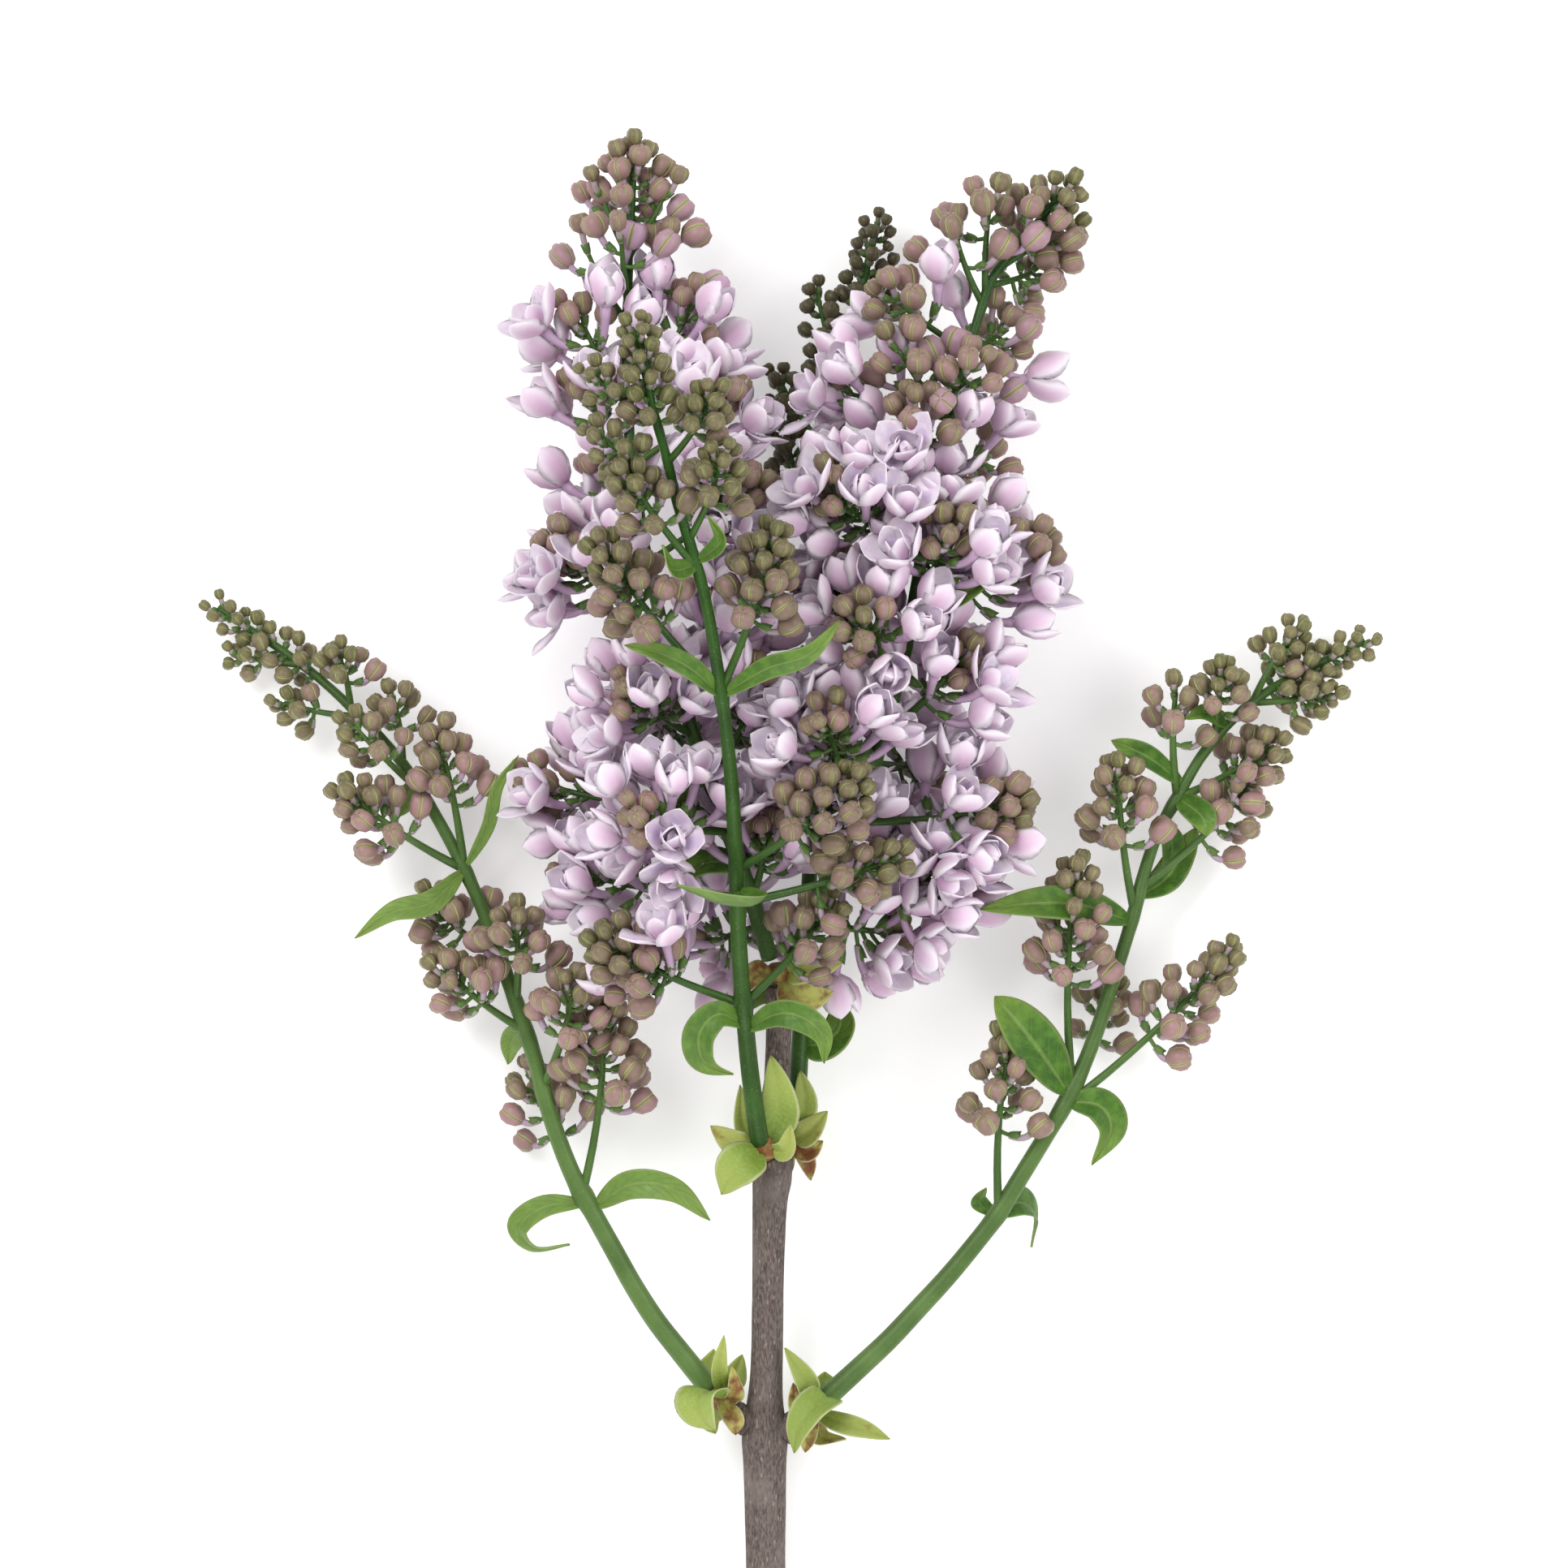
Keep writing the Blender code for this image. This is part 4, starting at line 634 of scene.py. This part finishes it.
for shoot, leaves in LEAVES.items():
    bodies = []
    for number, (midrib, half_width) in enumerate(leaves):
        rings, marks = blade_rings(
            midrib, towards=1, half_width=half_width * 1.05, thickness=LEAF_THICKNESS,
            rows=30, fold=0.30, wave=0.07, seed=1.3 * number,
        )
        bodies.append((rings, {**marks, "light": LEAF_LIGHT.get(shoot, 0.0)}))
    skin(shoot + "_leaves", bodies, leaf_finish)


# The florets' places: they stand round the outer part of every side branch. In each spray they are set a
# golden angle apart, wide at its inner end and forward at its tip, and then nudged apart where heads touch.
GOLDEN_ANGLE = math.radians(137.5)
NUDGES = 45


def square_to(look):
    """Two directions square to each look and to each other, the first of them level unless it is steep."""
    aside = np.where(np.abs(look[..., 2:]) < 0.8, np.array([0.0, 0.0, 1.0]), np.array([1.0, 0.0, 0.0]))
    across = unit(np.cross(look, aside))
    return across, np.cross(look, across)


def spray_florets(spray):
    """Root, head and stage of every floret of a spray, drawn in order from the spray's own seed."""
    draw = random.Random(spray["seed"])
    first_share = 0.1 if spray["is_last"] else 0.5
    florets = []
    for index in range(spray["count"]):
        share = (index + 0.5) / spray["count"]
        place = first_share + (1.0 - first_share) * share
        root = point_at(spray["line"], place)
        ahead = point_at(spray["line"], min(place + 0.02, 1.0))
        forward = unit(ahead - point_at(spray["line"], place - 0.02))
        across, above = square_to(forward)
        turn = GOLDEN_ANGLE * index + draw.uniform(-0.4, 0.4)
        splay = math.radians(76.0 - 58.0 * share**1.4 + draw.uniform(-9.0, 9.0))
        outward = math.cos(turn) * across + math.sin(turn) * above
        heading = math.cos(splay) * forward + math.sin(splay) * outward
        size = spray["bud"] * (1.0 - 0.36 * share) * draw.uniform(0.94, 1.06)
        is_open = share < spray["open_share"]
        reach = 12.6 - 2.6 * share if is_open else 1.8 + 0.19 * size**2
        if is_open:
            heading = heading * [1.0, 1.0, 0.5] + [0.0, 0.4, 0.0]
        heading = unit(heading * [1.0, 1.0, 0.8])
        florets.append({
            "shoot": spray["shoot"], "root": root, "head": root + heading * reach, "reach": reach,
            "radius": 4.7 if is_open else size / 2, "open": is_open, "flare": draw.uniform(0.25, 1.0),
            "turn": draw.uniform(0.0, math.tau), "forward": forward, "age": (size - 3.0) / 3.8,
        })
    return florets


def gather(chosen, key):
    """One property of the chosen florets as an array."""
    return np.array([floret[key] for floret in chosen])


def settled_heads(florets):
    """Heads are balls. Each round pushes apart the pairs that are too close, pushes them off stems, leaves
    and table, and draws every head a little way back to its own place, within a fifth of its reach."""
    heads, roots, radii, reaches = (gather(florets, key) for key in ("head", "root", "radius", "reach"))
    homes = heads.copy()
    rods = [stretch(np.array(plan["line"], float), 0.0, 1.0, 60) for plan in SHOOTS.values()]
    rods.append(stretch(np.array(WOOD)[:, :3], 0.0, 1.0, 60))
    rod_radii = [np.full(60, 1.7)] * len(SHOOTS) + [np.full(60, 3.6)]
    for leaves in LEAVES.values():
        for midrib, half_width in leaves:
            rods.append(stretch(np.array(midrib, float), 0.25, 1.0, 7))
            rod_radii.append(np.full(7, 0.6 * half_width))
    rods, rod_radii = np.concatenate(rods), np.concatenate(rod_radii)
    for _ in range(NUDGES):
        apart = heads[:, None] - heads[None]
        distance = np.linalg.norm(apart, axis=2) + 1000.0 * np.eye(len(heads))
        short = np.clip(radii[:, None] + radii[None] + 0.3 - distance, 0.0, None)
        push = (apart * (0.38 * short / distance)[..., None]).sum(axis=1)
        apart = heads[:, None] - rods[None]
        distance = np.linalg.norm(apart, axis=2)
        short = np.clip(radii[:, None] + rod_radii[None] + 0.3 - distance, 0.0, None)
        push += (apart * (0.3 * short / distance)[..., None]).sum(axis=1)
        heads = heads + push + 0.06 * (homes - heads)
        heads[:, 2] = np.maximum(heads[:, 2], 1.3 * radii + 0.4)
        stem_vectors = heads - roots
        length = np.linalg.norm(stem_vectors, axis=1)
        heads = roots + stem_vectors * (np.clip(length, 0.8 * reaches, 1.2 * reaches) / length)[:, None]
    return heads


florets = [floret for spray in sprays for floret in spray_florets(spray)]
for floret, head in zip(florets, settled_heads(florets)):
    floret["head"] = head


def floret_axes(chosen):
    """Where each floret's tube ends under its bud or petals, the way it looks, and two directions square to
    that. The tube bends: it leaves its twig sideways and turns up along it, on one quadratic curve."""
    root, head, forward = (gather(chosen, key) for key in ("root", "head", "forward"))
    reach = np.linalg.norm(head - root, axis=1, keepdims=True)
    middle = root + 0.5 * (head - root) - reach * (0.12 * forward + np.array([0.0, 0.26, 0.0]))
    look = unit(head - middle)
    side, up = square_to(look)
    turn = gather(chosen, "turn")[:, None]
    across = np.cos(turn) * side + np.sin(turn) * up
    return root, middle, head, look, across, np.cross(look, across)


# Calyces and flower stalks: each floret has a short green stalk and a little four-toothed green cup, out of
# which its tube comes. They are as green and specked as the branch that they grow from.
STALK_RADIUS = 0.45
CALYX_ROWS = ((0.0, 0.45), (0.18, 0.85), (0.5, 1.12), (0.8, 1.22), (1.0, 1.38))     # height, width
OPEN_CALYX = 7.8            # an open floret's calyx is as large as that of a bud this wide


def bent_tubes(root, middle, end, start_share, end_share, rows):
    """Points on every floret's curve root, middle, end, from one share of it to another."""
    share = start_share + (end_share - start_share) * np.linspace(0.0, 1.0, rows)[None, :, None]
    return bent(root[:, None], middle[:, None], end[:, None], share)


for shoot in SHOOTS:
    chosen = [floret for floret in florets if floret["shoot"] == shoot]
    root, middle, head = floret_axes(chosen)[:3]
    bud_size = np.where(gather(chosen, "open"), OPEN_CALYX, 2 * gather(chosen, "radius"))[:, None]
    path = bent_tubes(root, middle, head, 0.0, 0.30, 4)
    stalk_rings = round_rings(path, np.full((len(chosen), 4), STALK_RADIUS), 6)
    stalks[shoot].append((stalk_rings, {"deep_green_and_painted_shade": 0.15 + 0.5 * DEEP_GREEN[shoot]}))
    cup = 0.05 * bud_size + 0.45
    cup_length = 0.34 * bud_size
    start = bent(root, middle, head, 0.22)
    end = start + unit(bent(root, middle, head, 0.5) - start) * cup_length
    heights, widths = np.array(CALYX_ROWS).T
    path = start[:, None] + heights[None, :, None] * (end - start)[:, None]
    cup_rings = round_rings(path, cup * widths[None], 8)
    tooth = 0.42 * cup_length[:, None] * np.array([1.0, 0.0] * 4)[None, :, None] * unit(end - start)[:, None]
    cup_rings[:, -1] += tooth
    stalks[shoot].append((cup_rings, {"deep_green_and_painted_shade": 0.05 + 0.3 * DEEP_GREEN[shoot]}))
    stalk = skin(shoot + "_stalk_with_branches", stalks[shoot], green)
    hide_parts(shoot + "_shoot")


# Tubes: the narrow throat of each floret, that comes out of its calyx and widens a little under the bud or
# the petals. They are soft and lilac-grey, greener in their calyx, and painted darker on the shaded shoots as
# painted shade.
TUBE_ROWS = 6
PAINTED_SHADE_BY_SHOOT = {"rear": 0.75, "front": 0.2, "top_left": 0.05, "top_right": 0.1}     # how much painted shade darkens each shoot's florets
tube_finish = Finish("tube_skin", Roughness=0.45)
along, tint, deep_green_and_painted_shade = map(tube_finish.mark, ("along", "tint", "deep_green_and_painted_shade"))
colour = tube_finish.blend(tint, (0.34, 0.29, 0.25), (0.47, 0.31, 0.47))
colour = tube_finish.blend(tube_finish.rise(along, 0.35, 0.0) * 0.5, colour, (0.36, 0.42, 0.25))
# Painted shade: tubes on the shaded shoots, the rear one most, are blended towards near black.
colour = tube_finish.blend(deep_green_and_painted_shade, colour, (0.055, 0.045, 0.028))
tube_finish.wear(colour, 0.5 - 0.1 * tube_finish.noise(900.0))


def skin_tubes(name, paths, radii, tint, painted_floret_shade):
    """Round tubes along many paths at once, marked with how far up them each ring is."""
    marks = {"along": np.linspace(0.0, 1.0, TUBE_ROWS)[None, :, None], "tint": tint, "deep_green_and_painted_shade": painted_floret_shade}
    skin(name, [(round_rings(paths, radii, 8), marks)], tube_finish)


# Buds: round heads of four petals still folded over one another. Dusty mauve, with a yellow-green seam in
# each of the four valleys between petals, which cross on top. The youngest, at the tips, are small and olive.
BUD_ROWS = (      # height, radius and how deep the valleys are, all as shares of the bud's radius
    (-1.04, 0.27, 0.0), (-0.68, 0.76, 0.08), (-0.08, 1.0, 0.13), (0.46, 0.95, 0.15), (0.86, 0.64, 0.22),
    (0.88, 0.16, 0.3),
)
BUD_SIDES = 12
BUD_SEED = 7
AGE_AHEAD = {"left": 0.0, "right": -0.02, "front": -0.12, "rear": -0.2, "top_left": 0.04, "top_right": -0.04}

bud_finish = Finish("folded_petal_skin", Roughness=0.4, Specular_IOR_Level=0.35)
seam, age, tint, deep_green_and_painted_shade = map(bud_finish.mark, ("seam", "age", "tint", "deep_green_and_painted_shade"))
mottle = bud_finish.noise(700.0, detail=3.0)
young = bud_finish.blend(tint, (0.135, 0.135, 0.045), (0.20, 0.165, 0.085))
ripe = bud_finish.blend(tint, (0.245, 0.165, 0.125), (0.39, 0.22, 0.225))
colour = bud_finish.blend(bud_finish.rise(age, 0.1, 0.7), young, ripe)
colour = bud_finish.blend(bud_finish.rise(mottle, 0.4, 0.75) * 0.3, colour, (0.28, 0.25, 0.13))
colour = bud_finish.blend(bud_finish.rise(age, 0.8, 1.25), colour, (0.54, 0.34, 0.48))
lip = 1.0 - bud_finish.rise(seam, 0.16, 0.40)
# Painted shade: a dark line painted along the bottom of each valley, where the folded petals meet.
painted_crease_shade = 1.0 - bud_finish.rise(seam, 0.0, 0.09)
colour = bud_finish.blend(lip * 0.85, colour, (0.42, 0.43, 0.17))
colour = bud_finish.blend(painted_crease_shade * 0.85, colour, (0.09, 0.08, 0.03))
# Painted shade: buds on the shaded shoots, the rear one most, are blended towards near black.
colour = bud_finish.blend(deep_green_and_painted_shade, colour, (0.045, 0.036, 0.020))
bud_finish.wear(colour, 0.5 - 0.2 * mottle, bud_finish.rise(seam, 0.0, 0.3), 0.0002)

for shoot in SHOOTS:
    chosen = [floret for floret in florets if floret["shoot"] == shoot and not floret["open"]]
    root, middle, head, look, across, above = floret_axes(chosen)
    rng = np.random.default_rng(BUD_SEED)
    radius = gather(chosen, "radius")[:, None] * rng.uniform(0.82, 1.04, (len(chosen), 1))
    age = np.clip(gather(chosen, "age") + AGE_AHEAD[shoot], 0.0, 1.4)
    tint = rng.uniform(0.0, 1.0, len(chosen))
    long = 1.0 + 0.10 * rng.uniform(-1.0, 1.0, len(chosen))[:, None]
    row_heights, row_widths, depths = np.array(BUD_ROWS).T
    heights = row_heights[None] * radius * long
    widths = row_widths[None] * radius / np.sqrt(long)
    valley = np.array([1.0, 0.0, 0.0] * 4)
    grooved = widths[..., None] * (1.0 - depths[:, None] * valley)
    sunk = heights[..., None] - 0.3 * radius[..., None] * (depths * (row_heights > 0.8))[:, None] * valley
    angle = np.linspace(0.0, 2 * np.pi, BUD_SIDES, endpoint=False)[None, :, None]
    spokes = np.cos(angle) * across[:, None] + np.sin(angle) * above[:, None]
    rings = head[:, None, None] + sunk[..., None] * look[:, None, None] + grooved[..., None] * spokes[:, None]
    # Painted shade: the florets of shoots lying in shade are painted darker.
    painted_floret_shade = PAINTED_SHADE_BY_SHOOT.get(shoot, 0.0)
    marks = {"seam": 1.0 - valley, "age": age[:, None, None], "tint": tint[:, None, None], "deep_green_and_painted_shade": painted_floret_shade}
    buds = skin(shoot + "_buds", [(rings, marks)], bud_finish)
    for spray in sprays:
        if spray["shoot"] == shoot and not spray["at_tip"]:
            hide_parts(spray["node"])
    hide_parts(shoot + "_tip_spray")
    path = bent_tubes(root, middle, head - look * radius * 0.95, 0.28, 1.0, TUBE_ROWS)
    widen = np.linspace(0.80, 1.0, TUBE_ROWS)[None] * (0.10 * radius + 0.46)
    skin_tubes(shoot + "_bud_tubes", path, widen, (0.2 + 0.7 * age * tint)[:, None, None], painted_floret_shade)


# Open florets: double ones, nearly all on the two tall panicles. Four outer petals spread from the end of the
# tube, four shorter ones stand inside them and a last few curl over the throat. Petals are thin spoons with
# hooded tips, pale lilac, whiter at their edges and violet in their hollows.
PETAL_STEPS = 1.0 - (1.0 - np.linspace(0.0, 1.0, 7)) ** 1.6     # shares of its length, closer at its tip
PETAL_LENGTH, PETAL_HALF_WIDTH, PETAL_THICKNESS = 11.0, 3.7, 0.15
PETAL_U = np.array([-1.0, -0.6, 0.0, 0.6, 1.0, 0.6, 0.0, -0.6])         # across it, edge to edge and back
PETAL_FACE = np.array([0.0, 1.0, 1.0, 1.0, 0.0, -1.0, -1.0, -1.0])      # its inner side is 1, its back -1
OPEN_TUBE_RADII = np.array([0.72, 0.76, 0.8, 0.86, 0.98, 1.25])
PETAL_SEED = 20
WHORLS = (       # petals, turn in quarter circles, length, width, how much more upright at foot and tip
    (4, 0.0, 1.0, 1.0, 0.0, 0.0),
    (4, 0.5, 0.76, 0.82, 32.0, 18.0),
    (3, 0.2, 0.50, 0.58, 52.0, 60.0),
)


def petal_rings(chosen, whorl, seed):
    """The petals of one whorl. A petal's midline climbs from the throat at an angle that grows evenly from
    its foot to its hooded tip. Its half width follows (0.3 + 1.1 * s) * (1 - s**2.6)**0.75 scaled to 1, and
    across it, for u from -1 to 1, the blade rises by cup * u**2, so that it is a spoon."""
    count, quarter, length, width, foot_lift, tip_lift = whorl
    rng = np.random.default_rng(seed)
    head, look, across, above = floret_axes(chosen)[2:]
    throat = head - 3.4 * look
    flare = ((gather(chosen, "flare")[:, None] - 0.25) / 0.75) ** 1.8
    shape = (len(chosen), count)
    turn = 2 * np.pi * (np.arange(count) / count + quarter / 4) + rng.normal(0.0, 0.09, shape)
    base = 26.0 - 20.0 * flare + foot_lift + rng.normal(0.0, 5.0, shape)
    tip = 128.0 - 66.0 * flare + tip_lift + rng.normal(0.0, 12.0, shape)
    share = PETAL_STEPS
    climb = np.radians(base[..., None] + (tip - base)[..., None] * share)
    middle_climb = (climb[..., 1:] + climb[..., :-1]) / 2
    step = PETAL_LENGTH * length * rng.uniform(0.88, 1.08, shape)[..., None] * np.diff(share)
    start = np.zeros((*shape, 1))
    out = 0.55 + np.concatenate([start, np.cumsum(np.cos(middle_climb) * step, axis=-1)], axis=-1)
    rise = np.concatenate([start, np.cumsum(np.sin(middle_climb) * step, axis=-1)], axis=-1)
    axis, across, above = look[:, None, None], across[:, None, None], above[:, None, None]
    turn = turn[..., None, None]
    outward = np.cos(turn) * across + np.sin(turn) * above
    growing = np.cos(climb)[..., None] * outward + np.sin(climb)[..., None] * axis
    inward = -np.sin(climb)[..., None] * outward + np.cos(climb)[..., None] * axis
    sideways = np.cross(growing, inward)
    spread = (0.30 + 1.1 * share) * (1.0 - share**2.6).clip(0.0) ** 0.75
    half_width = PETAL_HALF_WIDTH * width * np.maximum(spread / spread.max(), 0.08)
    cup = (0.56 - 0.26 * flare)[..., None] * half_width
    cup = cup[..., None] * rng.uniform(0.75, 1.2, shape)[..., None, None]
    lift = cup * PETAL_U**2 + PETAL_FACE * (1.0 - PETAL_U**2) * PETAL_THICKNESS
    lift = lift + 0.10 * half_width[:, None] * np.sin(7.0 * share[:, None] + 2.0 * PETAL_U) * np.abs(PETAL_U)
    centre = throat[:, None, None] + out[..., None] * outward + rise[..., None] * axis
    u = (half_width[:, None] * PETAL_U)[..., None]
    rings = centre[..., None, :] + u * sideways[..., None, :] + lift[..., None] * inward[..., None, :]
    rings = rings.reshape(-1, len(share), len(PETAL_U), 3)
    tint = np.repeat(rng.uniform(0.0, 1.0, len(chosen)), count)[:, None, None]
    inner = (PETAL_FACE > -0.5).astype(float)
    return rings, {"along": share[None, :, None], "across": np.abs(PETAL_U), "inner": inner, "tint": tint}


petal = Finish("lilac_petal_skin", Roughness=0.55, Specular_IOR_Level=0.35)
along, across, inner, tint = map(petal.mark, ("along", "across", "inner", "tint"))
mottle = petal.noise(330.0, detail=4.0)
pale = petal.blend(tint, (0.88, 0.82, 0.89), (0.85, 0.76, 0.84))
pink = petal.blend(tint, (0.74, 0.52, 0.69), (0.66, 0.43, 0.60))
violet = (0.54, 0.41, 0.74)
inside = 1.0 - petal.rise(across, 0.15, 0.85)
colour = petal.blend(petal.rise(mottle, 0.35, 0.65) * 0.25, pale, pink)
hollow = inside * petal.rise(along, 0.0, 0.35) * petal.rise(along, 1.0, 0.5)
colour = petal.blend(hollow * petal.rise(mottle, 0.35, 0.6) * 0.45, colour, violet)
back = petal.blend((0.25 + 0.75 * inside) * petal.rise(along, 1.15, 0.5), pale, pink)
colour = petal.blend(1.0 - inner, colour, back)
colour = petal.blend(petal.rise(across, 0.6, 1.0) * 0.3, colour, (0.84, 0.78, 0.84))
petal.wear(colour, 0.6 - 0.2 * mottle, mottle, 0.0001)

for shoot in SHOOTS:
    chosen = [floret for floret in florets if floret["shoot"] == shoot and floret["open"]]
    if not chosen:
        continue
    spread_out = [floret for floret in chosen if floret["flare"] > 0.45]
    groups = [group for group in zip((chosen, chosen, spread_out), WHORLS) if group[0]]
    whorls = [petal_rings(own, whorl, PETAL_SEED + number) for number, (own, whorl) in enumerate(groups)]
    skin(shoot + "_open_petals", whorls, petal)
    root, middle, head, look = floret_axes(chosen)[:4]
    path = bent_tubes(root, middle, head - 3.1 * look, 0.24, 1.0, TUBE_ROWS)
    widen = np.tile(OPEN_TUBE_RADII, (len(chosen), 1))
    skin_tubes(shoot + "_floret_tubes", path, widen, 0.9, 0.0)


# The studio: a plain pale floor under the stem, a camera straight above it, and soft lights from three
# sides. The floor glows a little, so that it comes out nearly white.
VIEW_CENTRE = (3.97, 135.88)
VIEW_WIDTH = 328.4
VIEW_LEVEL = 20.0           # the height above the floor at which the view is that wide
CAMERA_HEIGHT = 3500.0
SENSOR = 36.0
FLOOR_REACH = 4.0           # metres from the middle to each side

floor_mesh = bpy.data.meshes.new("floor")
floor_corners = [(FLOOR_REACH * x, FLOOR_REACH * y, 0.0) for x, y in ((-1, -1), (1, -1), (1, 1), (-1, 1))]
floor_mesh.from_pydata(floor_corners, [], [(0, 1, 2, 3)])
floor = added("floor", floor_mesh)
floor_finish = Finish(
    "pale_floor", Roughness=0.9, Base_Color=(0.92, 0.92, 0.92, 1.0), Emission_Color=(1.0, 1.0, 1.0, 1.0),
    Emission_Strength=0.28,
)
floor_mesh.materials.append(floor_finish.material)

camera_data = bpy.data.cameras.new("camera")
camera_data.sensor_width = SENSOR
camera_data.lens = SENSOR * CAMERA_HEIGHT / VIEW_WIDTH
camera = added("camera", camera_data)
camera.location = (
    (VIEW_CENTRE[0] - ORIGIN[0]) * MM,
    (VIEW_CENTRE[1] - ORIGIN[1]) * MM,
    (CAMERA_HEIGHT + VIEW_LEVEL) * MM,
)
bpy.context.scene.camera = camera

for name, place, size, power in (       # place and size in metres, power in watts
    ("key", (-0.9, 0.9, 1.7), 1.1, 23.0),
    ("fill", (1.2, 0.2, 1.4), 1.1, 12.0),
    ("low", (0.0, -1.4, 1.0), 1.0, 8.0),
):
    lamp = bpy.data.lights.new(name, "AREA")
    lamp.size = size
    lamp.energy = power
    light = added(name, lamp)
    light.location = place
    light.rotation_euler = Vector(place).to_track_quat("Z", "Y").to_euler()

world = bpy.data.worlds.new("soft_white")
world.use_nodes = True
sky = world.node_tree.nodes["Background"].inputs
sky["Color"].default_value = (1.0, 1.0, 1.0, 1.0)
sky["Strength"].default_value = 0.60
bpy.context.scene.world = world
bpy.context.scene.view_settings.view_transform = "Standard"
